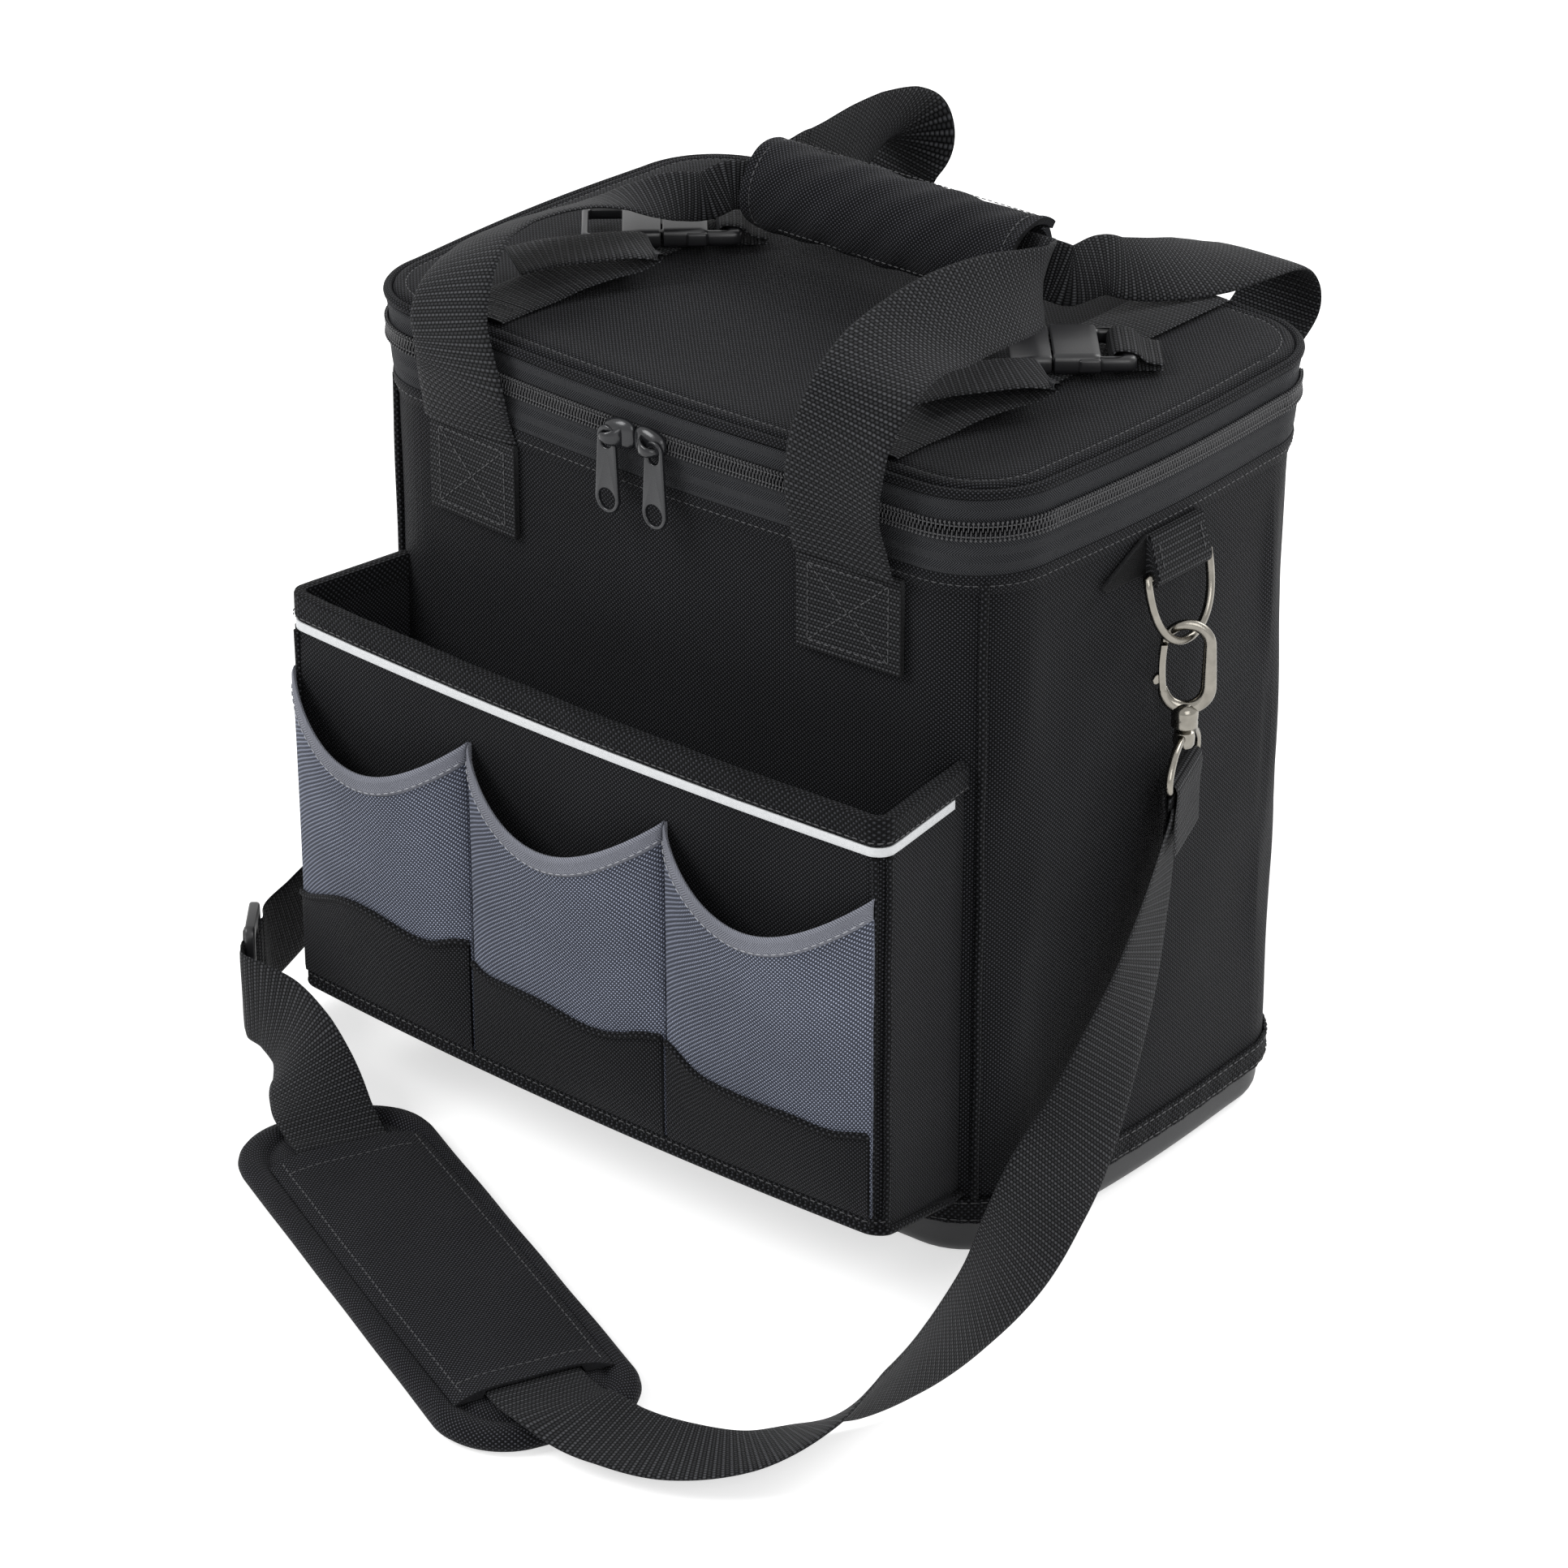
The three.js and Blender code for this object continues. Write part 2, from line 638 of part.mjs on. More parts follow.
// Half of the grip on one side of the split, with the slot its webbing runs through
function gripHalf(side, length) {
  const outline = [[side * GRIP_SPLIT, -GRIP_RADIUS]];
  for (let i = 1; i < 10; i += 1) {
    const a = rad(-90 + 18 * i);
    outline.push([side * (GRIP_SPLIT + (GRIP_RADIUS - GRIP_SPLIT) * Math.cos(a)), GRIP_RADIUS * Math.sin(a)]);
  }
  outline.push([side * GRIP_SPLIT, GRIP_RADIUS]);
  const place = (outlineHere, x) => outlineHere.map(([o, u]) => gripSpot(x, o, u));
  const ends = [GRIP_X - length / 2, GRIP_X + length / 2];
  const half = loft(ends.map((x) => place(outline, x)), false, fill(outline));
  const low = side * (GRIP_SLOT_MID - GRIP_SLOT / 2);
  const high = side * (GRIP_SLOT_MID + GRIP_SLOT / 2);
  const reach = GRIPPED_WIDTH / 2 + 0.5;
  const slot = [[low, -reach], [high, -reach], [high, reach], [low, reach]];
  const tunnel = loft([-length, length].map((x) => place(slot, x)), false, fill(slot));
  const near = side * 1.6;
  const far = side * 10;
  const mouth = [[near, -reach - 0.8], [far, -reach - 0.8], [far, reach + 0.8], [near, reach + 0.8]];
  const inset = length / 2 - GRIP_MOUTH;
  const mouths = [[-length, GRIP_X - inset], [GRIP_X + inset, length]].map((reachX) => (
    loft(reachX.map((x) => place(mouth, x)), false, fill(mouth))
  ));
  return half.subtract(tunnel).subtract(mouths[0]).subtract(mouths[1]);
}

// Join a left and a right half path that meet in the middle of the grip
function bothHandles(left, right) {
  return [...left, ...right.slice(0, -1).reverse()];
}

// Handles with their sewn ends and the two halves of the grip
function buildHandles() {
  const wide = HANDLE_WIDTH;
  const slim = GRIPPED_WIDTH;
  const foot = ANCHOR_TOP + 1;
  const down = [0, -gripUp[1], -gripUp[2]];
  const held = (x, out, up, width) => [...gripSpot(x, out, up), ...down, width];
  const frontLeft = [
    [-HANDLE_X, -111.6, foot, 1, 0, 0, wide],
    [-98, -114.5, 305, 1, 0, 0, 48],
    [-96.5, -118.5, 319, 1, 0, 0.03, 46],
    [-98, -120, 331, 1, -0.02, 0.06, 45],
    [-101, -119, 342, 1, -0.06, 0.08, 44],
    [-104, -113, 352, 0.97, -0.13, 0.12, 43],
    [-107, -103, 359.5, 0.92, -0.27, 0.2, 42],
    [-109.5, -89.5, 364, 0.82, -0.44, 0.27, 39],
    [-109, -73, 366, 0.72, -0.58, 0.32, 34],
    [-106, -56, 366.5, 0.66, -0.65, 0.34, 30],
    [-102, -40, 366.2, 0.63, -0.69, 0.3, 26],
    [-96.5, -25, 365.5, 0.6, -0.74, 0.1, 24],
    [-90.5, -11, 364, 0.5, -0.78, -0.3, 22],
    [-85.5, 1, 362.5, 0.3, -0.65, -0.7, 21],
    [-80.5, 11, 360.8, 0.1, -0.5, -0.86, 20],
    held(-74.5, 13.5, -6, 20),
    held(-68, 9, -3.5, 20),
    held(-60, 6.3, -1.5, 21),
    held(-48, GRIP_SLOT_MID, 0, slim),
    held(-24, GRIP_SLOT_MID, 0, slim),
    held(0, GRIP_SLOT_MID, 0, slim),
  ];
  const frontRight = [
    [HANDLE_X, -111.6, foot, 1, 0, 0, wide],
    [98, -114.5, 305, 1, 0, 0.02, 48],
    [98.5, -119, 320, 1, 0, 0.05, 46],
    [101, -121, 336, 1, 0.03, 0.05, 45],
    [104.5, -120, 352, 0.99, 0.08, 0.04, 44],
    [106, -110.5, 366, 0.97, 0.2, -0.05, 43],
    [104, -92, 373.5, 0.92, 0.3, -0.2, 42],
    [102.5, -68.5, 375.5, 0.8, 0.34, -0.45, 41],
    [102, -46, 376.5, 0.68, 0.38, -0.6, 39],
    [101.5, -23, 375, 0.55, 0.3, -0.75, 36],
    [99.5, -5, 372, 0.4, 0.05, -0.9, 32],
    [95, 7.5, 370, 0.2, -0.25, -0.95, 29],
    [89, 17, 369.3, 0.05, -0.4, -0.91, 27],
    held(83, 10, 0, slim),
    held(76, 7.2, 0, slim),
    held(68, 5.5, 0, slim),
    held(56, GRIP_SLOT_MID, 0, slim),
    held(30, GRIP_SLOT_MID, 0, slim),
    held(0, GRIP_SLOT_MID, 0, slim),
  ];
  add('front_handle', ribbon(bothHandles(frontLeft, frontRight), HANDLE_THICKNESS, 110), 0x131417);
  const backLeft = [
    [-HANDLE_X, 111.6, foot, -1, 0, 0, wide],
    [-98, 117, 301, -1, 0, 0, 48],
    [-98, 131, 306, -1, 0, 0, 46],
    [-98, 145, 312.5, -1, 0, 0, 44],
    [-97.5, 151, 323, -1, 0, 0, 43],
    [-96.5, 153, 336, -0.97, 0.18, -0.06, 43],
    [-94.5, 151.5, 349, -0.82, 0.48, -0.22, 43],
    [-93, 142, 358, -0.7, 0.62, -0.33, 42],
    [-90.5, 122, 360, -0.84, 0.42, -0.26, 41],
    [-86, 101, 357, -0.95, 0.1, -0.22, 40],
    [-81, 83, 356, -0.9, -0.25, -0.35, 36],
    [-78, 70, 358, -0.6, -0.45, -0.65, 31],
    [-76.5, 60, 360.8, -0.25, -0.45, -0.85, 27],
    held(-75, -14.5, 2, slim),
    held(-70, -9, 1, slim),
    held(-61, -5.8, 0, slim),
    held(-46, -GRIP_SLOT_MID, 0, slim),
    held(-24, -GRIP_SLOT_MID, 0, slim),
    held(0, -GRIP_SLOT_MID, 0, slim),
  ];
  const backRight = [
    [HANDLE_X, 111.6, foot, 1, 0, 0, wide],
    [98, 118, 299, 1, 0, 0, 48],
    [98, 134, 303, 1, 0, 0, 46],
    [98.5, 151, 308, 1, 0, 0, 43],
    [99, 162, 318, 1, 0, 0, 41],
    [99, 160.5, 331, 1, 0, 0, 41],
    [98.5, 149, 340, 1, 0, 0, 41],
    [98, 131, 344.5, 0.98, -0.1, -0.1, 41],
    [96, 111, 347.5, 0.9, -0.3, -0.3, 38],
    [92.5, 92, 350.5, 0.75, -0.45, -0.5, 32],
    [88, 75, 354, 0.5, -0.5, -0.7, 27],
    [84, 63, 358, 0.25, -0.45, -0.85, slim],
    held(80, -14.5, 0, slim),
    held(75.5, -9.5, 0, slim),
    held(66, -5.8, 0, slim),
    held(50, -GRIP_SLOT_MID, 0, slim),
    held(24, -GRIP_SLOT_MID, 0, slim),
    held(0, -GRIP_SLOT_MID, 0, slim),
  ];
  add('back_handle', ribbon(bothHandles(backLeft, backRight), HANDLE_THICKNESS, 110), 0x131417);
  for (const [end, side] of [['front', -1], ['back', 1]]) {
    for (const [place, sx] of [['left', -1], ['right', 1]]) {
      const mid = sx * HANDLE_X;
      const plan = facePlan(side, mid - wide / 2, mid + wide / 2, 6);
      const ordered = side < 0 ? plan : plan.reverse();
      const patch = [[0.4, ANCHOR_FOOT], [3.4, ANCHOR_FOOT], [3.4, ANCHOR_TOP], [0.4, ANCHOR_TOP]];
      add(`${end}_handle_end_${place}`, carry(ordered, patch), 0x131417);
    }
  }
  add('grip_flap', gripHalf(1, GRIP_LENGTH), 0x15161a);
  add('grip_pad', gripHalf(-1, GRIP_LENGTH - 8), 0x17191d);
}

// Lid straps with slack tails and side-release buckles
function buildLidStraps() {
  const flat = LID_TOP + 0.5;
  const t = LID_STRAP_THICKNESS;
  const top = flat + t;
  const low = top + FIT;
  const high = low + BUCKLE_HEIGHT;
  for (const [place, sx] of [['left', -1], ['right', 1]]) {
    const mid = sx * LID_STRAP_X;
    const turned = (part) => part.translate([-mid, -BUCKLE_Y, 0]).rotate([0, 0, BUCKLE_TURN])
      .translate([mid, BUCKLE_Y, 0]);
    const path = [
      [0, -103, 0.7, 1, 0, 0], [0, -84, 0.7, 1, 0, 0], [2, -70, 1.5, 0.98, -0.15, 0],
      [6, -56, 4, 0.93, -0.3, 0], [12, -40, 5.8, 0.86, -0.45, 0], [17, -29, 6.8, 0.82, -0.55, 0],
      [20.5, -21.5, 9.8, 0.8, -0.6, 0], [15, -30, 12.2, 0.8, -0.6, 0], [4, -43, 11.6, 0.82, -0.57, 0],
      [-6, -54, 10.4, 0.86, -0.5, 0], [-14, -66, 8.4, 0.9, -0.44, 0],
    ].map(([x, y, rise, ...across]) => [mid + x, y, flat + rise, ...across, LID_STRAP_WIDTH]);
    const half = LID_STRAP_WIDTH / 2;
    const under = box([mid - half, -88, flat], [mid + half, BUCKLE_Y + 1, top]);
    const fold = ribbon(path, t, 48);
    add(`lid_strap_front_${place}`, fold.add(under), 0x131417);
    const rear = box([mid - half, BUCKLE_Y + 5, flat], [mid + half, 103, top]);
    add(`lid_strap_rear_${place}`, rear, 0x131417);
    const wide = BUCKLE_WIDTH / 2;
    const shell = box([mid - wide, BUCKLE_Y, low], [mid + wide, BUCKLE_Y + 32, high]);
    const mouth = box([mid - wide + 4, BUCKLE_Y - 1, low + 1.2], [mid + wide - 4, BUCKLE_Y + 23, high - 1.2]);
    const left = mid - wide + 3.5;
    const right = mid + wide - 3.5;
    const bar = box([left, BUCKLE_Y + 26.5, low - 1], [right, BUCKLE_Y + 29, high + 1]);
    add(`buckle_socket_${place}`, turned(shell.subtract(mouth).subtract(bar)), 0x101114, 0.35);
    const base = box([mid - wide, BUCKLE_Y - 33, low], [mid + wide, BUCKLE_Y - 0.8, high - 0.4]);
    const ladder = box([left, BUCKLE_Y - 29, low - 1], [right, BUCKLE_Y - 22, high + 1]);
    const tongue = box([mid - 4, BUCKLE_Y - 2, low + 1.7], [mid + 4, BUCKLE_Y + 18, high - 1.7]);
    const arms = [-1, 1].map((side) => {
      const a = mid + side * (wide - 9.5);
      const b = mid + side * (wide - 4.5);
      return box([Math.min(a, b), BUCKLE_Y - 2, low + 1.7], [Math.max(a, b), BUCKLE_Y + 20, high - 1.7]);
    });
    const prong = base.subtract(ladder).add(tongue).add(arms[0]).add(arms[1]);
    add(`buckle_prong_${place}`, turned(prong), 0x101114, 0.35);
  }
}

// Zip sliders with hooked bridges and hanging pulls; their wide ends face each other
function buildSliders() {
  for (const [place, x, toward] of [['left', SLIDER_LEFT_X, 1], ['right', SLIDER_RIGHT_X, -1]]) {
    const face = -faceDepth(0);
    const near = x - toward * (SLIDER_LENGTH - SLIDER_REACH);
    const far = x + toward * SLIDER_REACH;
    const low = Math.min(near, far);
    const high = Math.max(near, far);
    const plate = box([low, face - 7.4, ZIP_LINE - 6.5], [high, face - 5.5, ZIP_LINE + 6.5]);
    const web = box([low + 2, face - 6, ZIP_LINE - 0.25], [high - 2, face - 2.4, ZIP_LINE + 0.25]);
    const step = ZIP_LINE - 6 + PULL_RISE;
    const arm = box([x - 1.9, face - 12.9, step], [x + 1.9, face - 7, step + 2]);
    const lip = box([x - 1.9, face - 12.9, step], [x + 1.9, face - 11.2, step + 7.5]);
    add(`zip_slider_${place}`, plate.add(web).add(arm).add(lip), 0x141518, 0.25, 0.6);
    const top = ZIP_LINE - 0.2 + PULL_RISE;
    const small = PULL_HEAD / 2;
    const large = PULL_WIDTH / 2;
    const outline = [];
    for (let i = 0; i <= 8; i += 1) {
      const a = rad(22.5 * i);
      outline.push([x + small * Math.cos(a), top - small + small * Math.sin(a)]);
    }
    for (let i = 0; i <= 8; i += 1) {
      const a = rad(180 + 22.5 * i);
      outline.push([x + large * Math.cos(a), top - PULL_LENGTH + large + large * Math.sin(a)]);
    }
    const bar = prism(outline, 'y', face - 10.4, face - 8.2);
    const window = box([x - 2.9, face - 12, top - 9.5], [x + 2.9, face - 6, top - 2.6]);
    const eye = top - PULL_LENGTH + large;
    const hole = wasm.Manifold.cylinder(8, 4, 4, 16).rotate([90, 0, 0]).translate([x, face - 5, eye]);
    add(`zip_pull_${place}`, bar.subtract(window).subtract(hole), 0x141518, 0.25, 0.6);
  }
}

// Ring tab, D-ring, hook, gate and eye on one side; sx is 1 on the right
function buildClip(place, sx) {
  const s = RING_Y / (BODY_DEPTH / 2 - CORNER_RADIUS);
  const face = BODY_WIDTH / 2 + SIDE_BULGE * (1 - s * s) + 0.5;
  const bar = face + 4.6;
  const mirror = (body) => (sx > 0 ? body : body.scale([-1, 1, 1]));
  const y0 = RING_Y - TAB_WIDTH / 2;
  const y1 = RING_Y + TAB_WIDTH / 2;
  const fold = [];
  const hole = [];
  for (let i = 0; i < 12; i += 1) {
    const a = rad(30 * i);
    fold.push([bar + 4.2 * Math.cos(a), RING_BAR_Z + 4.2 * Math.sin(a)]);
    hole.push([bar + 2.7 * Math.cos(a), RING_BAR_Z + 2.7 * Math.sin(a)]);
  }
  const sewn = [
    [face, RING_BAR_Z], [bar + 4.1, RING_BAR_Z],
    [bar - 0.6, RING_BAR_Z + 16], [face, RING_BAR_Z + 17],
  ];
  let tab = prism(sewn, 'y', y0, y1).add(prism(fold, 'y', y0, y1));
  tab = tab.subtract(prism(hole, 'y', y0 - 5, y1 + 5));
  const tail = [[y0 + 2, RING_BAR_Z + 1], [y0 + 2, RING_BAR_Z + 17], [y0 - 26, RING_BAR_Z + 3]];
  tab = tab.add(prism(tail, 'x', face, face + 1.6));
  add(`ring_tab_${place}`, mirror(tab), 0x131417);
  const lean = (body) => body.translate([-bar, 0, -RING_BAR_Z]).rotate([0, -RING_LEAN, 0])
    .translate([bar, 0, RING_BAR_Z]);
  const half = RING_WIDTH / 2 - RING_WIRE;
  const loop = [];
  for (let i = 0; i <= 8; i += 1) {
    const y = RING_Y - half + 2 * half * i / 8;
    loop.push([bar, y, RING_BAR_Z]);
  }
  const drop = RING_DROP - 2 * RING_WIRE;
  for (let i = 1; i < 16; i += 1) {
    const a = rad(180 * i / 16);
    const pull = Math.sin(a);
    loop.push([bar, RING_Y + half * Math.cos(a), RING_BAR_Z - drop * Math.pow(pull, 0.75)]);
  }
  add(`d_ring_${place}`, mirror(lean(wire(loop, RING_WIRE, [1, 0, 0], true, 8))), 0xb9b6ac, 0.3, 1);
  const ringLow = [bar + drop * Math.sin(rad(RING_LEAN)), RING_BAR_Z - drop * Math.cos(rad(RING_LEAN))];
  buildHook(place, mirror, ringLow[0], ringLow[1]);
}

// Upright outline with half-round ends, in the hook's own plane
function slotOutline(half, low, high) {
  const outline = [];
  for (const [cz, from] of [[high - half, 0], [low + half, 180]]) {
    for (let i = 0; i <= 8; i += 1) {
      const a = rad(from + 22.5 * i);
      outline.push([half * Math.cos(a), cz + half * Math.sin(a)]);
    }
  }
  return outline;
}

// Swivel snap hook hanging on the ring's low point, with its gate and eye
function buildHook(place, mirror, x, ringZ) {
  const t = HOOK_THICKNESS / 2;
  const innerTop = ringZ + RING_WIRE + 2.1;
  const innerLow = innerTop - HOOK_OPENING;
  const outerHalf = HOOK_INNER + HOOK_WALL;
  const top = innerTop + HOOK_WALL;
  const bottom = innerLow - HOOK_WALL - 1.5;
  const outer = prism(slotOutline(outerHalf, bottom, top), 'y', -t, t);
  const inner = prism(slotOutline(HOOK_INNER, innerLow, innerTop), 'y', -t - 1, t + 1);
  const gapLow = innerLow + 5;
  const gapTop = innerTop - 5.5;
  const gap = box([-20, -t - 1, gapLow], [0, t + 1, gapTop]);
  const neck = wasm.Manifold.cylinder(9, 5.4, 5.4, 12).translate([0, 0, bottom - 5]);
  const bore = wasm.Manifold.cylinder(16, 2.3, 2.3, 12).translate([0, 0, bottom - 14]);
  const room = wasm.Manifold.cylinder(4, 4.1, 4.1, 12).translate([0, 0, bottom - 1]);
  const hook = outer.add(neck).subtract(inner).subtract(gap).subtract(room).subtract(bore);
  const seat = (body) => mirror(body.rotate([0, 0, HOOK_TURN]).translate([x, RING_Y, 0]));
  add(`snap_hook_${place}`, seat(hook), 0xa9a69b, 0.3, 1);
  const bar = [
    [-HOOK_INNER - 3.6, gapLow + 0.8], [-HOOK_INNER - 0.2, gapLow + 0.8],
    [-HOOK_INNER - 0.2, gapTop - 0.4], [-HOOK_INNER - 3.6, gapTop - 0.4],
  ];
  add(`hook_gate_${place}`, seat(prism(bar, 'y', -t + 0.8, t - 0.8)), 0xa9a69b, 0.3, 1);
  const pin = wasm.Manifold.cylinder(10, 1.9, 1.9, 12).translate([0, 0, bottom - 9.5]);
  const head = wasm.Manifold.cylinder(2.4, 3.6, 3.6, 12).translate([0, 0, bottom - 0.4]);
  const eyeTop = bottom - 9;
  const w = EYE_WIDTH / 2 - 1.6;
  const frame = [
    [-w, 0, eyeTop - 16], [0, 0, eyeTop - 16], [w, 0, eyeTop - 16], [w, 0, eyeTop - 10],
    [w * 0.7, 0, eyeTop - 3], [w * 0.25, 0, eyeTop], [-w * 0.25, 0, eyeTop], [-w * 0.7, 0, eyeTop - 3],
    [-w, 0, eyeTop - 10],
  ];
  const eye = wire(frame, 1.6, [0, 1, 0], true, 8).add(pin).add(head);
  const hung = eye.rotate([0, 0, EYE_TURN]).translate([x, RING_Y, 0]);
  add(`swivel_eye_${place}`, mirror(hung), 0xa9a69b, 0.3, 1);
}

// Shoulder strap, pad, sleeve and adjuster
function buildStrap() {
  const turn = rad(PAD_TURN);
  const along = [Math.cos(turn), Math.sin(turn)];
  const over = [-Math.sin(turn), Math.cos(turn)];
  const webZ = FIT + PAD_THICKNESS + 0.4 + STRAP_THICKNESS / 2;
  const onPad = (s, lift = 0, aside = 0) => [
    PAD_X + along[0] * s + over[0] * aside,
    PAD_Y + along[1] * s + over[1] * aside,
    webZ + lift, over[0], over[1], 0,
  ];
  const thick = [Math.cos(rad(ADJUSTER_TURN)), Math.sin(rad(ADJUSTER_TURN))];
  const atAdjuster = (run, out) => [
    ADJUSTER_X + thick[0] * out - thick[1] * run,
    ADJUSTER_Y + thick[1] * out + thick[0] * run,
    ADJUSTER_Z, 0, 0, 1,
  ];
  const long = [
    [176.4, RING_Y, 185.9, -0.375, 0.927, 0],
    [176.4, RING_Y, 177, -0.375, 0.927, 0],
    [176.5, -6.6, 161, -0.42, 0.9, -0.05],
    [177, -16.8, 132, -0.28, 0.95, -0.1],
    [178.5, -30, 105, -0.1, 0.97, -0.2],
    [181, -49, 81, 0.1, 0.93, -0.3],
    [184, -71.4, 58.4, 0.35, 0.8, -0.45],
    [188, -94.4, 45.3, 0.55, 0.6, -0.6],
    [193, -119, 33, 0.5, 0.3, -0.8],
    [199, -151, 25, 0.15, 0.2, -0.95],
    [204, -190, 21.6, -0.22, 0.32, -0.92],
    [204, -219, 19.5, -0.49, 0.21, -0.85],
    [198, -243, 15, -0.82, 0.2, -0.52],
    [184, -266, 9.5, -0.75, 0.6, -0.2],
    [162, -283, 8.5, -0.4, 0.9, 0],
    [140, -291, 10, 0.05, 0.99, 0],
    onPad(PAD_LENGTH / 2 - 3, 2.2, 3),
    onPad(PAD_LENGTH / 2 - 18, 0.8, 0.4),
    onPad(PAD_LENGTH / 2 - 28, 0.1), onPad(PAD_LENGTH / 2 - 40), onPad(60), onPad(0), onPad(-60),
    onPad(-PAD_LENGTH / 2 + 52), onPad(-PAD_LENGTH / 2 + 38, 0.1),
    onPad(-PAD_LENGTH / 2 + 28, 1.3),
    [-105, -200, 16, 0.36, 0.9, 0.15],
    [-121, -191, 21.5, 0.25, 0.75, 0.55],
    [-134, -183.5, 28, 0.12, 0.5, 0.85],
    [-147, -178.5, 32.5, 0.03, 0.25, 0.97],
    [-163, -177, 35, 0, 0.05, 1],
    atAdjuster(-22, -2), atAdjuster(-14, -3.5), atAdjuster(-10.7, -3.5),
    atAdjuster(-1.8, 3.5), atAdjuster(1, 3.5),
  ].map((p) => [...p, STRAP_WIDTH]);
  add('shoulder_strap_long', ribbon(long, STRAP_THICKNESS, 150), 0x131417);
  const short = [
    atAdjuster(-1, -3.5), atAdjuster(1.8, -3.5), atAdjuster(10.7, 3.5), atAdjuster(14, 3.5),
    [-198, -138, 36.5, 0, 0, 1],
    [-200, -118, 43, 0.1, -0.2, 0.97],
    [-197, -88, 60, 0.15, -0.5, 0.85],
    [-189, -52, 90, 0.1, -0.75, 0.65],
    [-182, -25, 122, 0.1, -0.93, 0.35],
    [-177.5, -9, 154, 0.3, -0.94, 0.1],
    [-176.4, RING_Y, 177, 0.375, -0.927, 0],
    [-176.4, RING_Y, 185.9, 0.375, -0.927, 0],
  ].map((p) => [...p, STRAP_WIDTH]);
  add('shoulder_strap_short', ribbon(short, STRAP_THICKNESS, 44), 0x131417);
  const outline = [];
  const r = 20;
  for (const [sx, sy, from] of [[1, 1, 0], [-1, 1, 90], [-1, -1, 180], [1, -1, 270]]) {
    for (let i = 0; i <= 6; i += 1) {
      const a = rad(from + 15 * i);
      outline.push([sx * (PAD_LENGTH / 2 - r) + r * Math.cos(a), sy * (PAD_WIDTH / 2 - r) + r * Math.sin(a)]);
    }
  }
  const lay = (body) => body.rotate([0, 0, PAD_TURN]).translate([PAD_X, PAD_Y, 0]);
  const shrink = (by) => outline.map(([x, y]) => (
    [x * (1 - 2 * by / PAD_LENGTH), y * (1 - 2 * by / PAD_WIDTH)]
  ));
  const levels = [[2, FIT], [0, FIT + 2], [0, FIT + PAD_THICKNESS - 3], [3, FIT + PAD_THICKNESS]];
  const rings = levels.map(([by, z]) => shrink(by).map(([x, y]) => [x, y, z]));
  add('shoulder_pad', lay(loft(rings, false, fill(outline))), 0x15161a);
  const padTop = FIT + PAD_THICKNESS + FIT;
  const roof = webZ + STRAP_THICKNESS / 2 + 0.4;
  const arch = [
    [-SLEEVE_WIDTH / 2, padTop], [-STRAP_WIDTH / 2 - 1, padTop], [-STRAP_WIDTH / 2 - 1, roof],
    [STRAP_WIDTH / 2 + 1, roof], [STRAP_WIDTH / 2 + 1, padTop], [SLEEVE_WIDTH / 2, padTop],
    [SLEEVE_WIDTH / 2, roof + 0.6], [STRAP_WIDTH / 2, roof + 1.8], [-STRAP_WIDTH / 2, roof + 1.8],
    [-SLEEVE_WIDTH / 2, roof + 0.6],
  ];
  const sleeve = prism(arch, 'x', SLEEVE_SHIFT - SLEEVE_LENGTH / 2, SLEEVE_SHIFT + SLEEVE_LENGTH / 2);
  add('pad_sleeve', lay(sleeve), 0x17191d);
  const frame = box([-2.2, -14, -27], [2.2, 14, 27]);
  const slots = box([-5, -10.5, -21.5], [5, -2, 21.5]).add(box([-5, 2, -21.5], [5, 10.5, 21.5]));
  const turned = frame.subtract(slots).rotate([0, 0, ADJUSTER_TURN]);
  add('strap_adjuster', turned.translate([ADJUSTER_X, ADJUSTER_Y, ADJUSTER_Z]), 0x101114, 0.35);
}

buildBody();
buildLid();
buildFrontPocket();
buildPatchPockets();
buildHandles();
buildLidStraps();
buildSliders();
buildClip('right', 1);
buildClip('left', -1);
buildStrap();

export default bag;
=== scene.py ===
"""Dressed look of the zippered tool bag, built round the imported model."""
import math

import bmesh
import bpy
import numpy as np
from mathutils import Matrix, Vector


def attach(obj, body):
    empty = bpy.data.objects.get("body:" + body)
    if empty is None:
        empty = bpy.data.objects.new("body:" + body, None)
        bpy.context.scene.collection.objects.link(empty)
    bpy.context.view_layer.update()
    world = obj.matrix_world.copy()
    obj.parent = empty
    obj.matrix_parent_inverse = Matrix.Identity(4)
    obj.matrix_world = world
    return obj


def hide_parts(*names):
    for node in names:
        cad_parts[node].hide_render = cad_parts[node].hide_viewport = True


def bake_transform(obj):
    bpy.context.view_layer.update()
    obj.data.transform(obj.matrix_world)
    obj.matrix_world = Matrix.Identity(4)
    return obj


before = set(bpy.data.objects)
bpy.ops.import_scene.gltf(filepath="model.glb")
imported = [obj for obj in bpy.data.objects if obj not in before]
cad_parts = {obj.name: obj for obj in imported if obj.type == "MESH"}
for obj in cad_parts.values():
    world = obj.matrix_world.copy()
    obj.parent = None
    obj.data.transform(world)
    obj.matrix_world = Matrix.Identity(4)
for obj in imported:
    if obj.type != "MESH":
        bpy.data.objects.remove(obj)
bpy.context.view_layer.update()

# Studio.
# A pale floor that fades to white for the camera, a white world, three soft lamps,
# and a camera at the photograph's angle. Sizes here are in metres.
scene = bpy.context.scene
scene.view_settings.view_transform = "Standard"


def add_step(tree, kind, *values, **settings):
    """One shader node; values fill its inputs in order, as numbers or as other nodes' outputs."""
    made = tree.nodes.new(kind)
    for name, value in settings.items():
        setattr(made, name, value)
    for place, value in enumerate(values):
        if value is None:
            continue
        if isinstance(value, bpy.types.NodeSocket):
            tree.links.new(value, made.inputs[place])
        else:
            made.inputs[place].default_value = value
    return made


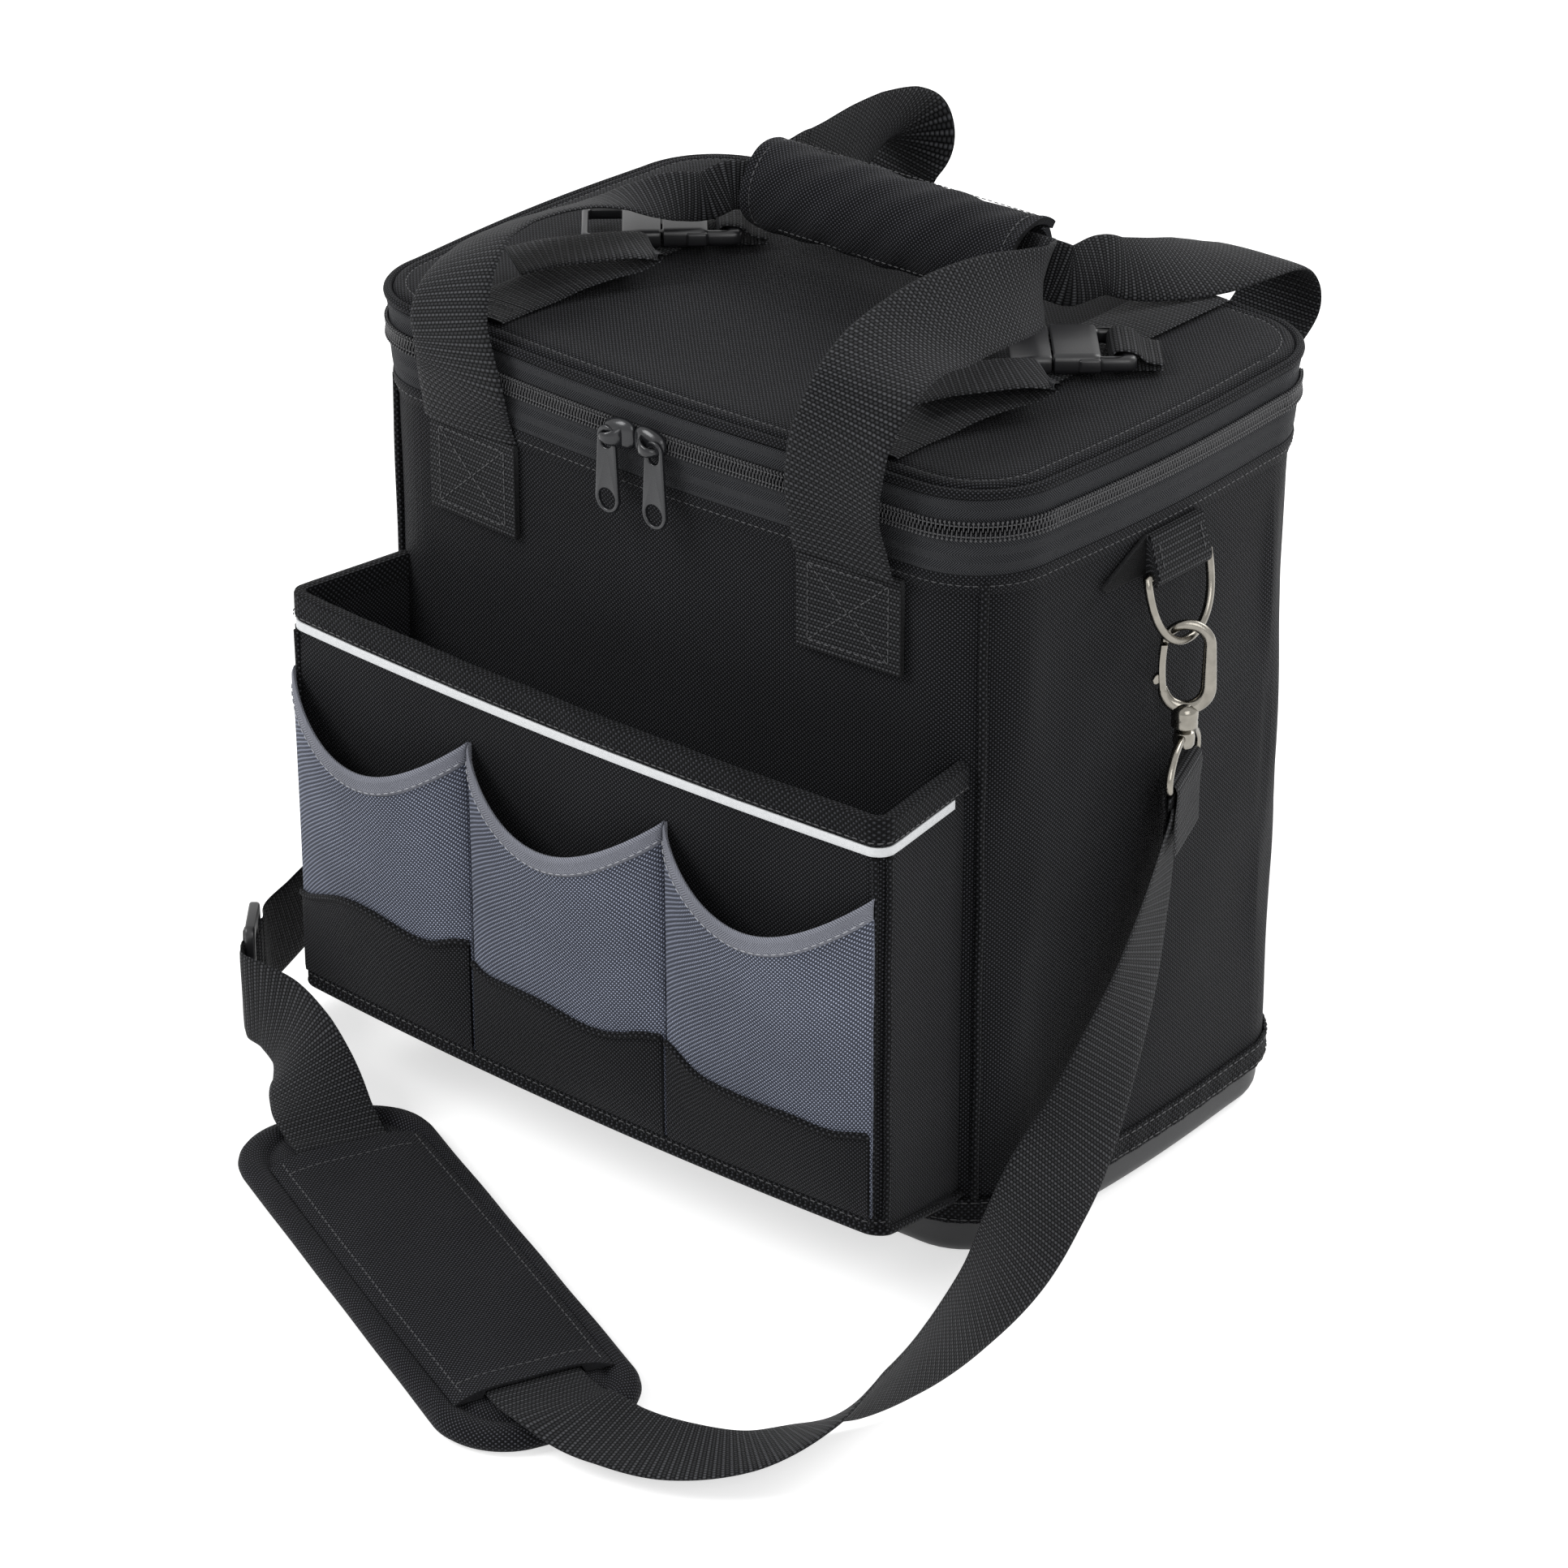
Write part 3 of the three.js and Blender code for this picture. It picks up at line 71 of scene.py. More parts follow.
def sums(tree, operation, *values):
    """Output of one Math node."""
    return add_step(tree, "ShaderNodeMath", *values, operation=operation).outputs[0]


def seen_rays(tree):
    """1 for camera, glossy and transmission rays, else 0: the larger of the three."""
    path = tree.nodes.new("ShaderNodeLightPath")
    rays = sums(tree, "MAXIMUM", path.outputs["Is Camera Ray"], path.outputs["Is Glossy Ray"])
    return sums(tree, "MAXIMUM", rays, path.outputs["Is Transmission Ray"])


world = bpy.data.worlds.new("studio")
scene.world = world
world.use_nodes = True
air = world.node_tree
air.nodes.clear()
ambient = add_step(air, "ShaderNodeBackground", (1, 1, 1, 1), 0.44)
backdrop = add_step(air, "ShaderNodeBackground", (1, 1, 1, 1), 1.0)
choice = add_step(air, "ShaderNodeMixShader", seen_rays(air))
air.links.new(ambient.outputs[0], choice.inputs[1])
air.links.new(backdrop.outputs[0], choice.inputs[2])
add_step(air, "ShaderNodeOutputWorld", choice.outputs[0])

floor_mesh = bpy.data.meshes.new("floor")
floor_mesh.from_pydata([(-6, -6, 0), (6, -6, 0), (6, 6, 0), (-6, 6, 0)], [], [(0, 1, 2, 3)])
floor_mesh.transform(Matrix.Translation((0, 0, -0.0004)))
floor = bpy.data.objects.new("floor", floor_mesh)
scene.collection.objects.link(floor)
floor_paint = bpy.data.materials.new("floor_paint")
floor_paint.use_nodes = True
ground = floor_paint.node_tree
ground.nodes.clear()
matt = add_step(ground, "ShaderNodeBsdfDiffuse", (0.8, 0.8, 0.8, 1))
glow = add_step(ground, "ShaderNodeEmission", (1, 1, 1, 1),
    sums(ground, "MULTIPLY", seen_rays(ground), 0.62))
both = add_step(ground, "ShaderNodeAddShader", matt.outputs[0], glow.outputs[0])
add_step(ground, "ShaderNodeOutputMaterial", both.outputs[0])
floor_mesh.materials.append(floor_paint)

for lamp_name, spot, aim, size, power in [
    ("key_lamp", (-1.6, -2.2, 2.4), (0, 0, 0.2), 1.6, 62),
    ("fill_lamp", (2.6, -1.4, 1.7), (0, 0, 0.2), 1.8, 26),
    ("back_lamp", (0.9, 2.2, 2.2), (0, 0, 0.3), 1.5, 40),
]:
    light = bpy.data.lights.new(lamp_name, "AREA")
    light.shape = "SQUARE"
    light.size = size
    light.energy = power
    lamp = bpy.data.objects.new(lamp_name, light)
    lamp.location = spot
    lamp.rotation_euler = (Vector(aim) - Vector(spot)).to_track_quat("-Z", "Y").to_euler()
    scene.collection.objects.link(lamp)

camera = bpy.data.objects.new("camera", bpy.data.cameras.new("camera"))
camera.data.sensor_width = 36
camera.data.lens = 130.43
camera.data.clip_start = 0.05
camera.data.clip_end = 50
camera.location = (1.3529, -1.6005, 1.1923)
camera.rotation_euler = (math.radians(63), 0, math.radians(40.8))
scene.collection.objects.link(camera)
scene.camera = camera

# Shoulder strap.
# Flat black polypropylene webbing 40 mm wide, woven in cross rows of short floats.
# It runs from the right hook down the side, over the ground, through the pad to the adjuster.
# Sizes from here on are in millimetres; a mesh is turned to metres when it is made.


def smooth_path(stations, steps):
    """Centripetal Catmull-Rom curve: cubic pieces whose knots are spaced by the square root of
    the gap between stations. Every column is carried; the first three are x, y and z."""
    s = np.asarray(stations, float)
    ends = np.vstack([2 * s[0] - s[1], s, 2 * s[-1] - s[-2]])
    t = np.linspace(0, len(s) - 1, steps + 1)
    k = np.minimum(t.astype(int), len(s) - 2)
    f = (t - k)[:, None]

    def cubic(part):
        """Hermite cubic whose slopes are weighed by the square roots of the gaps."""
        p0, p1, p2, p3 = (ends[k + j][:, part] for j in range(4))
        d0, d1, d2 = (np.sqrt(np.linalg.norm(b - a, axis=1))[:, None] for a, b in ((p0, p1), (p1, p2),
            (p2, p3)))
        d1 = np.where(d1 < 1e-4, 1.0, d1)
        d0 = np.where(d0 < 1e-4, d1, d0)
        d2 = np.where(d2 < 1e-4, d1, d2)
        m1 = ((p1 - p0) / d0 - (p2 - p0) / (d0 + d1) + (p2 - p1) / d1) * d1
        m2 = ((p2 - p1) / d1 - (p3 - p1) / (d1 + d2) + (p3 - p2) / d2) * d1
        return p1 + m1 * f + (3 * (p2 - p1) - 2 * m1 - m2) * f**2 + (2 * (p1 - p2) + m1 + m2) * f**3

    rest = ends[k + 1][:, 6:] * (1 - f) + ends[k + 2][:, 6:] * f
    return cubic(slice(0, 3)), cubic(slice(3, 6)), rest


def strip_frame(spine, across):
    """Unit directions along the path, across it and out of its face, at each point."""
    along = np.gradient(spine, axis=0)
    along /= np.linalg.norm(along, axis=1)[:, None]
    side = across - (across * along).sum(1)[:, None] * along
    side /= np.linalg.norm(side, axis=1)[:, None]
    return along, side, np.cross(along, side)


def gaps(points, axis):
    """Running length along one axis of a grid of points, averaged over the other."""
    steps = np.linalg.norm(np.diff(points, axis=axis), axis=2).mean(1 - axis)
    return np.concatenate([[0], np.cumsum(steps)])


def mesh_of(name, points, faces, corners_uv, material, smooth=180):
    """Object from points in millimetres, faces and one (u, v) in millimetres per face corner."""
    mesh = bpy.data.meshes.new(name)
    mesh.from_pydata((np.asarray(points) * 0.001).tolist(), [], faces)
    layer = mesh.uv_layers.new(name="UVMap")
    layer.data.foreach_set("uv", (np.asarray(corners_uv, np.float32) * 0.001).ravel())
    mesh.polygons.foreach_set("use_smooth", np.ones(len(mesh.polygons), bool))
    if smooth < 180:
        mesh.set_sharp_from_angle(angle=math.radians(smooth))
    mesh.materials.append(material)
    mesh.validate()
    piece = bpy.data.objects.new(name, mesh)
    scene.collection.objects.link(piece)
    return piece


def loft(name, rings, material, closed=False, smooth=35, uv=None):
    """Skin over equal rings of points (rows, ring, 3); the ring always closes. Open rows get
    ends: a strip of quads between the ring's two halves. U is length along the rows, V round the ring."""
    rows, count = rings.shape[:2]
    index = np.arange(rows * count).reshape(rows, count)
    if uv is None:
        around = gaps(np.concatenate([rings, rings[:, :1]], 1), 1)
        run = gaps(np.concatenate([rings, rings[:1]], 0) if closed else rings, 0)
        uv = np.stack(np.meshgrid(run, around, indexing="ij"), -1)
    a = index
    b = np.roll(index, -1, 1)
    if not closed:
        a, b = a[:-1], b[:-1]
        c, d = np.roll(index, -1, 1)[1:], index[1:]
    else:
        c, d = np.roll(np.roll(index, -1, 1), -1, 0), np.roll(index, -1, 0)
    quads = np.stack([a, b, c, d], -1).reshape(-1, 4)
    ua, ub, uc, ud = uv[:-1, :-1], uv[:-1, 1:], uv[1:, 1:], uv[1:, :-1]
    corners = np.stack([ua, ub, uc, ud], 2).reshape(-1, 2)
    faces = quads.tolist()
    extra = []
    if not closed:
        half = count // 2
        k = np.arange(half - 1)
        strip = np.stack([k, (count - 1 - k) % count, (count - 2 - k) % count, k + 1], -1)
        for row, order in ((0, 1), (rows - 1, -1)):
            ring_uv = uv[row, :-1]
            faces += (index[row][strip][:, ::order]).tolist()
            extra.append(ring_uv[strip][:, ::order].reshape(-1, 2))
    corners = np.concatenate([corners, *extra]) if extra else corners
    piece = mesh_of(name, rings.reshape(-1, 3), faces, corners, material, smooth)
    volume = signed_volume(piece.data)
    if volume < 0:
        piece.data.flip_normals()
    return piece


def signed_volume(mesh):
    """Volume inside a closed mesh: the sum of its triangles' tetrahedra about the origin."""
    mesh.calc_loop_triangles()
    spots = np.empty(len(mesh.vertices) * 3)
    mesh.vertices.foreach_get("co", spots)
    spots = spots.reshape(-1, 3)
    corners = np.empty(len(mesh.loop_triangles) * 3, int)
    mesh.loop_triangles.foreach_get("vertices", corners)
    a, b, c = spots[corners].reshape(-1, 3, 3).transpose(1, 0, 2)
    return float((a * np.cross(b, c)).sum() / 6)


def new_group(name, inputs, outputs):
    """Empty shader group with named float inputs (name, value) and named outputs (name, kind)."""
    group = bpy.data.node_groups.new(name, "ShaderNodeTree")
    for label, value in inputs:
        kind = "NodeSocketVector" if value is None else "NodeSocketFloat"
        socket = group.interface.new_socket(label, in_out="INPUT", socket_type=kind)
        if value is not None:
            socket.default_value = value
    for label in outputs:
        group.interface.new_socket(label, in_out="OUTPUT", socket_type="NodeSocketFloat")
    return group, group.nodes.new("NodeGroupInput"), group.nodes.new("NodeGroupOutput")


def wave(tree, place, pitch, shift=0.0):
    """Sine that crosses zero once per pitch: sin(pi * (place / pitch + shift))."""
    share = sums(tree, "ADD", sums(tree, "DIVIDE", place, pitch), shift)
    return sums(tree, "SINE", sums(tree, "MULTIPLY", share, math.pi))


# Webbing rows: height is the product of a rounded row and rounded floats that shift half a
# float from row to row; alternate rows are a little lower. Shade is painted shade: the height
# to the power 1.8, darker in the grooves and on the lower rows.
webbing_rows, webbing_in, webbing_out = new_group(
    "webbing_rows", [("Place", None), ("Row", 0.00143), ("Float", 0.00169)], ["Height", "Shade"])
split = add_step(webbing_rows, "ShaderNodeSeparateXYZ", webbing_in.outputs["Place"])
row_share = sums(webbing_rows, "DIVIDE", split.outputs[0], webbing_in.outputs["Row"])
row_odd = sums(webbing_rows, "MODULO", sums(webbing_rows, "FLOOR", row_share), 2.0)
row_bump = sums(webbing_rows, "ABSOLUTE", wave(webbing_rows, split.outputs[0], webbing_in.outputs["Row"]))
float_wave = wave(webbing_rows, split.outputs[1], webbing_in.outputs["Float"],
    sums(webbing_rows, "MULTIPLY", row_odd, 0.5))
float_bump = sums(webbing_rows, "POWER", sums(webbing_rows, "ABSOLUTE", float_wave), 0.6)
web_height = sums(webbing_rows, "MULTIPLY", sums(webbing_rows, "POWER", row_bump, 0.7), float_bump)
lowered = sums(webbing_rows, "SUBTRACT", 1.0, sums(webbing_rows, "MULTIPLY", row_odd, 0.35))
web_height = sums(webbing_rows, "MULTIPLY", web_height, lowered)
webbing_rows.links.new(web_height, webbing_out.inputs["Height"])
# Painted shade in the grooves between rows and floats.
webbing_rows.links.new(sums(webbing_rows, "POWER", web_height, 1.8), webbing_out.inputs["Shade"])

# Handling marks: slow noise that lightens cloth in patches, and fine fibre noise.
handling, handling_in, handling_out = new_group("handling_marks", [("Place", None), ("Size", 0.06)],
    ["Patch", "Fibre"])
slow_scale = sums(handling, "DIVIDE", 1.0, handling_in.outputs["Size"])
slow = add_step(handling, "ShaderNodeTexNoise", handling_in.outputs["Place"], None, slow_scale, 3.0, 0.55)
fine = add_step(handling, "ShaderNodeTexNoise", handling_in.outputs["Place"], None, 2600.0, 2.0, 0.6)
handling.links.new(slow.outputs[0], handling_out.inputs["Patch"])
handling.links.new(fine.outputs[0], handling_out.inputs["Fibre"])


def place_group(tree, group, vector, **values):
    """A group node with its vector linked and its numbers set."""
    made = tree.nodes.new("ShaderNodeGroup")
    made.node_tree = group
    tree.links.new(vector, made.inputs["Place"])
    for label, value in values.items():
        made.inputs[label].default_value = value
    return made


def woven_material(name, group, dark, light, roughness, depth, sheen=0.25, patch=0.35, **values):
    """Cloth: the weave's Shade output mixes a dark and a light copy of the one thread colour, which is
    painted shade in the dips between threads and painted light on their crossings; handling marks lift it,
    and the weave's height feeds a bump of the given depth in metres."""
    material = bpy.data.materials.new(name)
    material.use_nodes = True
    tree = material.node_tree
    shader = tree.nodes["Principled BSDF"]
    where = tree.nodes.new("ShaderNodeTexCoord")
    weave = place_group(tree, group, where.outputs["UV"], **values)
    marks = place_group(tree, handling, where.outputs["Object"])
    # Painted light and shade: the weave's Shade picks between a dark and a light copy of the thread colour.
    painted_weave_shade = add_step(tree, "ShaderNodeMix", data_type="RGBA")
    tree.links.new(weave.outputs["Shade"], painted_weave_shade.inputs["Factor"])
    painted_weave_shade.inputs[6].default_value = (*dark, 1)
    painted_weave_shade.inputs[7].default_value = (*light, 1)
    lift = sums(tree, "MULTIPLY_ADD", marks.outputs["Patch"], patch * 2, 1 - patch)
    fibres = sums(tree, "MULTIPLY_ADD", marks.outputs["Fibre"], 0.5, 0.75)
    toned = add_step(tree, "ShaderNodeVectorMath", painted_weave_shade.outputs[2], operation="SCALE")
    tree.links.new(sums(tree, "MULTIPLY", lift, fibres), toned.inputs["Scale"])
    tree.links.new(toned.outputs[0], shader.inputs["Base Color"])
    rough = sums(tree, "MULTIPLY_ADD", marks.outputs["Fibre"], 0.2, roughness - 0.1)
    tree.links.new(rough, shader.inputs["Roughness"])
    bump = add_step(tree, "ShaderNodeBump")
    bump.inputs["Strength"].default_value = 0.8
    bump.inputs["Distance"].default_value = depth
    tree.links.new(weave.outputs["Height"], bump.inputs["Height"])
    tree.links.new(bump.outputs[0], shader.inputs["Normal"])
    shader.inputs["Sheen Weight"].default_value = sheen * 0.4
    shader.inputs["Sheen Roughness"].default_value = 0.45
    shader.inputs["Specular IOR Level"].default_value = 0.06
    return material


strap_webbing = woven_material(
    "strap_webbing", webbing_rows, (0.0006, 0.0006, 0.0008), (0.085, 0.087, 0.094), 0.55, 0.0008, 0.1)


def webbing(name, stations, thickness, steps, material=None, columns=9, curl=0.0):
    """Flat strap: a thin section with rounded edges carried along the path. The section's face
    is lifted by curl times the square of the distance from its middle."""
    spine, across, width = smooth_path(stations, steps)
    _, side, out = strip_frame(spine, across)
    v = np.sin(np.linspace(-math.pi / 2, math.pi / 2, columns))
    edge = np.sqrt(np.clip(1 - np.abs(v) ** 12, 0, 1)) * 0.5
    half = width[:, :1] / 2
    lift = curl * (v**2)
    top = (v * half)[..., None] * side[:, None] + ((edge + lift) * thickness)[None, :, None] * out[:, None]
    low = (v * half)[..., None] * side[:, None] + ((lift - edge) * thickness)[None, :, None] * out[:, None]
    ring = np.concatenate([top[:, :-1], low[:, :0:-1]], 1) + spine[:, None]
    run = gaps(spine[:, None], 0)
    level = np.concatenate([v[:-1], v[:0:-1], v[:1]]) * half.mean() + half.mean() + 3
    uv = np.stack(np.meshgrid(run, level, indexing="ij"), -1)
    return loft(name, ring, material or strap_webbing, smooth=60, uv=uv), spine


PAD_X, PAD_Y, PAD_TURN = 1.0, -246.0, math.radians(-23.5)
PAD_LENGTH, PAD_WIDTH = 260.0, 84.0
pad_along = np.array([math.cos(PAD_TURN), math.sin(PAD_TURN), 0])
pad_over = np.array([-math.sin(PAD_TURN), math.cos(PAD_TURN), 0])
ADJUSTER_SPOT = np.array([-187.0, -158, 35])
adjuster_out = np.array([math.cos(math.radians(40.8)), math.sin(math.radians(40.8)), 0])
adjuster_run = np.array([-adjuster_out[1], adjuster_out[0], 0])


def on_pad(s, lift=0.0, aside=0.0):
    """Station where the strap lies on the pad, s along the pad from its middle."""
    return [*(np.array([PAD_X, PAD_Y, 10.9 + lift]) + pad_along * s + pad_over * aside), *pad_over]


def at_adjuster(run, out):
    """Station in the adjuster's slots: along its width and out of its face."""
    return [*(ADJUSTER_SPOT + adjuster_run * run + adjuster_out * out), 0, 0, 1]


long_route = [
    [176.4, 1, 185.9, -0.375, 0.927, 0],
    [176.4, 1, 177, -0.375, 0.927, 0],
    [176.5, -6.6, 161, -0.42, 0.9, -0.05],
    [177, -16.8, 132, -0.28, 0.95, -0.1],
    [178.5, -30, 105, -0.1, 0.97, -0.2],
    [181, -49, 81, 0.1, 0.93, -0.3],
    [184, -71.4, 58.4, 0.35, 0.8, -0.45],
    [188, -94.4, 45.3, 0.55, 0.6, -0.6],
    [193, -119, 33, 0.5, 0.3, -0.8],
    [199, -151, 25, 0.15, 0.2, -0.95],
    [204, -190, 21.6, -0.22, 0.32, -0.92],
    [204, -219, 19.5, -0.49, 0.21, -0.85],
    [198, -243, 15, -0.82, 0.2, -0.52],
    [184, -266, 9.5, -0.75, 0.6, -0.2],
    [162, -283, 8.5, -0.4, 0.9, 0],
    [140, -291, 10, 0.05, 0.99, 0],
    on_pad(127, 2.2, 3), on_pad(112, 0.8, 0.4), on_pad(102, 0.1), on_pad(90), on_pad(60), on_pad(0),
    on_pad(-60),
    on_pad(-78), on_pad(-92, 0.1), on_pad(-102, 1.3),
    [-105, -200, 16, 0.36, 0.9, 0.15],
    [-121, -191, 21.5, 0.25, 0.75, 0.55],
    [-134, -183.5, 28, 0.12, 0.5, 0.85],
    [-147, -178.5, 32.5, 0.03, 0.25, 0.97],
    [-163, -177, 35, 0, 0.05, 1],
    at_adjuster(-22, -2), at_adjuster(-14, -3.5), at_adjuster(-10.7, -3.5),
    at_adjuster(-1.8, 3.5), at_adjuster(1, 3.5),
]
short_route = [
    at_adjuster(-1, -3.5), at_adjuster(1.8, -3.5), at_adjuster(10.7, 3.5), at_adjuster(14, 3.5),
    [-198, -138, 36.5, 0, 0, 1],
    [-200, -118, 43, 0.1, -0.2, 0.97],
    [-197, -88, 60, 0.15, -0.5, 0.85],
    [-189, -52, 90, 0.1, -0.75, 0.65],
    [-182, -25, 122, 0.1, -0.93, 0.35],
    [-177.5, -9, 154, 0.3, -0.94, 0.1],
    [-176.4, 1, 177, 0.375, -0.927, 0],
    [-176.4, 1, 185.9, 0.375, -0.927, 0],
]
for name, route, steps, node, clip in [
    ("strap_long", long_route, 640, "shoulder_strap_long", "clip_right"),
    ("strap_short", short_route, 200, "shoulder_strap_short", "clip_left"),
]:
    strap, spine = webbing(name, [[*s, 40] for s in route], 1.4, steps)
    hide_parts(node)
    hook_end = spine[0] if name == "strap_long" else spine[-1]
    x, y = hook_end[:2] * 0.001
    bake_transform(strap)

# Shoulder pad.
# A long padded base with a soft rolled border, and a cloth sleeve sewn along both long edges
# that the strap slides through. Foam inside black polyester cloth.

# Plain weave: height is the root of |cos x * cos y| over the thread pitch, so each crossing
# stands up. Its Shade is painted light and shade: darker in the dips between threads, and a
# chessboard of lighter and darker crossings painted for the sheen of warp and weft.
cloth_threads, threads_in, threads_out = new_group("cloth_threads", [("Place", None), ("Pitch", 0.00095)],
    ["Height", "Shade"])
split = add_step(cloth_threads, "ShaderNodeSeparateXYZ", threads_in.outputs["Place"])
over_x = wave(cloth_threads, split.outputs[0], threads_in.outputs["Pitch"], 0.5)
over_y = wave(cloth_threads, split.outputs[1], threads_in.outputs["Pitch"], 0.5)
crossing = sums(cloth_threads, "MULTIPLY", over_x, over_y)
thread_height = sums(cloth_threads, "POWER", sums(cloth_threads, "ABSOLUTE", crossing), 0.6)
# Painted sheen: alternate crossings lighter and darker, as warp and weft catch the light differently.
painted_sheen_chess = sums(cloth_threads, "MULTIPLY_ADD", crossing, 0.5, 0.5)
cloth_threads.links.new(thread_height, threads_out.inputs["Height"])
painted_thread_shade = sums(cloth_threads, "POWER", sums(cloth_threads, "MULTIPLY", thread_height, painted_sheen_chess), 1.4)
cloth_threads.links.new(painted_thread_shade, threads_out.inputs["Shade"])

body_cloth = woven_material(
    "body_cloth", cloth_threads, (0.0006, 0.0006, 0.0008), (0.072, 0.074, 0.084), 0.6, 0.0004, 0.08)
pad_cloth = woven_material(
    "pad_cloth", cloth_threads, (0.001, 0.001, 0.0014), (0.09, 0.092, 0.106), 0.66, 0.0004, 0.1)
binding_cloth = woven_material(
    "binding_cloth", cloth_threads, (0.001, 0.001, 0.0012), (0.06, 0.062, 0.07), 0.6, 0.0005, 0.08,
    Pitch=0.0013)


def pill_outline(long, wide, corner, count):
    """Outline of a round-cornered bar as equal steps: straight sides joined by quarter circles."""
    angles = np.linspace(0, 2 * np.pi, 4 * 24, endpoint=False) + 2 * np.pi / 192
    centre = np.stack([np.sign(np.cos(angles)) * (long / 2 - corner),
        np.sign(np.sin(angles)) * (wide / 2 - corner)], -1)
    ring = centre + corner * np.stack([np.cos(angles), np.sin(angles)], -1)
    ring = np.concatenate([ring, ring[:1]])
    run = np.concatenate([[0], np.cumsum(np.linalg.norm(np.diff(ring, axis=0), axis=1))])
    at = np.linspace(0, run[-1], count, endpoint=False)
    return np.stack([np.interp(at, run, ring[:, 0]), np.interp(at, run, ring[:, 1])], -1)


def lay_on_ground(points):
    """Turn flat (along, over, height) points to the pad's place on the ground."""
    spot = np.array([PAD_X, PAD_Y, 0]) + points[..., :1] * pad_along + points[..., 1:2] * pad_over
    spot[..., 2] = points[..., 2]
    return spot


# Base: rings shrink from the widest outline; the border swells as a half circle, a groove
# follows it, and the middle is nearly flat with a slow swell.
pad_ring = pill_outline(PAD_LENGTH, PAD_WIDTH, 30, 260)
pad_levels = [(7, 0.35), (4, 0.4), (1.8, 1.2), (0.5, 2.6), (0, 4.4), (0.4, 6.3), (1.6, 7.9), (3.4, 9.0),
    (5.6, 9.55),
              (7.8, 9.3), (9.6, 8.5), (10.8, 7.5), (11.6, 7.1), (12.6, 7.5), (14, 8.3), (17, 9.1),
              (22, 9.4), (30, 9.5),
              (38, 9.5)]
inward = -np.gradient(pad_ring, axis=0)[:, ::-1] * [1, -1]
inward /= np.linalg.norm(inward, axis=1)[:, None]
rings = []
for inset, height in pad_levels:
    shrunk = pad_ring * [1 - 2 * inset / PAD_LENGTH, 1 - 2 * inset / PAD_WIDTH]
    wobble = 0.25 * np.sin(pad_ring[:, 0] * 0.11 + inset) * np.sin(pad_ring[:, 1] * 0.17 + 1.3)
    rings.append(np.column_stack([shrunk, height + wobble * (1.5 < height < 9.2)]))
pad_base = loft("pad_base", lay_on_ground(np.array(rings)), pad_cloth, smooth=180)


def settle(piece, body, slot, *nodes):
    """The piece moves with a body and stands for the named nodes; slot is not used."""
    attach(piece, body)
    if nodes:
        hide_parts(*nodes)
    return piece


settle(pad_base, "bag", "body_fabric", "shoulder_pad")

# Sleeve: an arch over the strap. Its height falls to the pad as a flattened cosine towards both
# sewn edges, and the two mouths rise a little and carry a hem.
SLEEVE_LENGTH, SLEEVE_WIDTH, SLEEVE_SHIFT = 192.0, 66.0, 4.0
along = np.linspace(-0.5, 0.5, 77)
over = np.linspace(-0.5, 0.5, 41)
A, O = np.meshgrid(along, over, indexing="ij")
arch = np.clip(1 - np.abs(2 * O) ** 5, 0, 1)
mouth = np.exp(-((0.5 - np.abs(A)) * SLEEVE_LENGTH / 7) ** 2)
sink = np.exp(-(((np.abs(O) - 0.435) * SLEEVE_WIDTH) / 1.1) ** 2)
ripple = 0.3 * np.sin(A * 21 + 3 * O) * np.cos(O * 9 + 1) * arch
roof = 10.0 + 3.1 * arch + 0.9 * mouth * arch**2 + ripple - 0.5 * sink * (1 - mouth)
bow = 1 + 0.02 * np.cos(np.pi * A)
top = np.stack([A * SLEEVE_LENGTH + SLEEVE_SHIFT + 3 * (O**2) * np.sign(A) * mouth, O * SLEEVE_WIDTH * bow,
    roof], -1)
low = top.copy()
low[..., 2] = np.minimum(roof - 0.9, np.where(np.abs(O) < 0.32, roof - 1.0, 9.9))
low[..., 2] = np.where(np.abs(O) < 0.32, roof - 1.0, 9.75)
ring = np.concatenate([top, low[:, ::-1]], 1)
sleeve = loft("pad_sleeve_cloth", lay_on_ground(ring), pad_cloth, smooth=50)
settle(sleeve, "bag", "body_fabric")


def bean(rows=5, around=6):
    """Closed capsule along its first axis, one unit long and thick: circles whose radius is the
    root of 1 - x to the fourth, with small end faces."""
    x = np.linspace(-1, 1, rows + 2)[1:-1] * 1.06
    x = np.clip(x, -0.97, 0.97)
    radius = np.sqrt(1 - x**4)
    t = np.linspace(0, 2 * np.pi, around, endpoint=False)
    shape = np.stack(np.broadcast_arrays(x[:, None], radius[:, None] * np.cos(t),
        radius[:, None] * np.sin(t)), -1) / 2
    shape = np.concatenate([shape.reshape(-1, 3), [[-0.5, 0, 0], [0.5, 0, 0]]])
    k = np.arange(around)
    n = (k + 1) % around
    sides = [np.stack([i * around + k, i * around + n, (i + 1) * around + n, (i + 1) * around + k],
        -1) for i in range(rows - 1)]
    first, last = rows * around, rows * around + 1
    ends = [[first, int(b), int(a), first] for a, b in zip(k, n)]
    top = (rows - 1) * around
    ends += [[last, int(top + a), int(top + b), last] for a, b in zip(k, n)]
    return shape, np.concatenate(sides).tolist(), [e[:3] for e in ends]


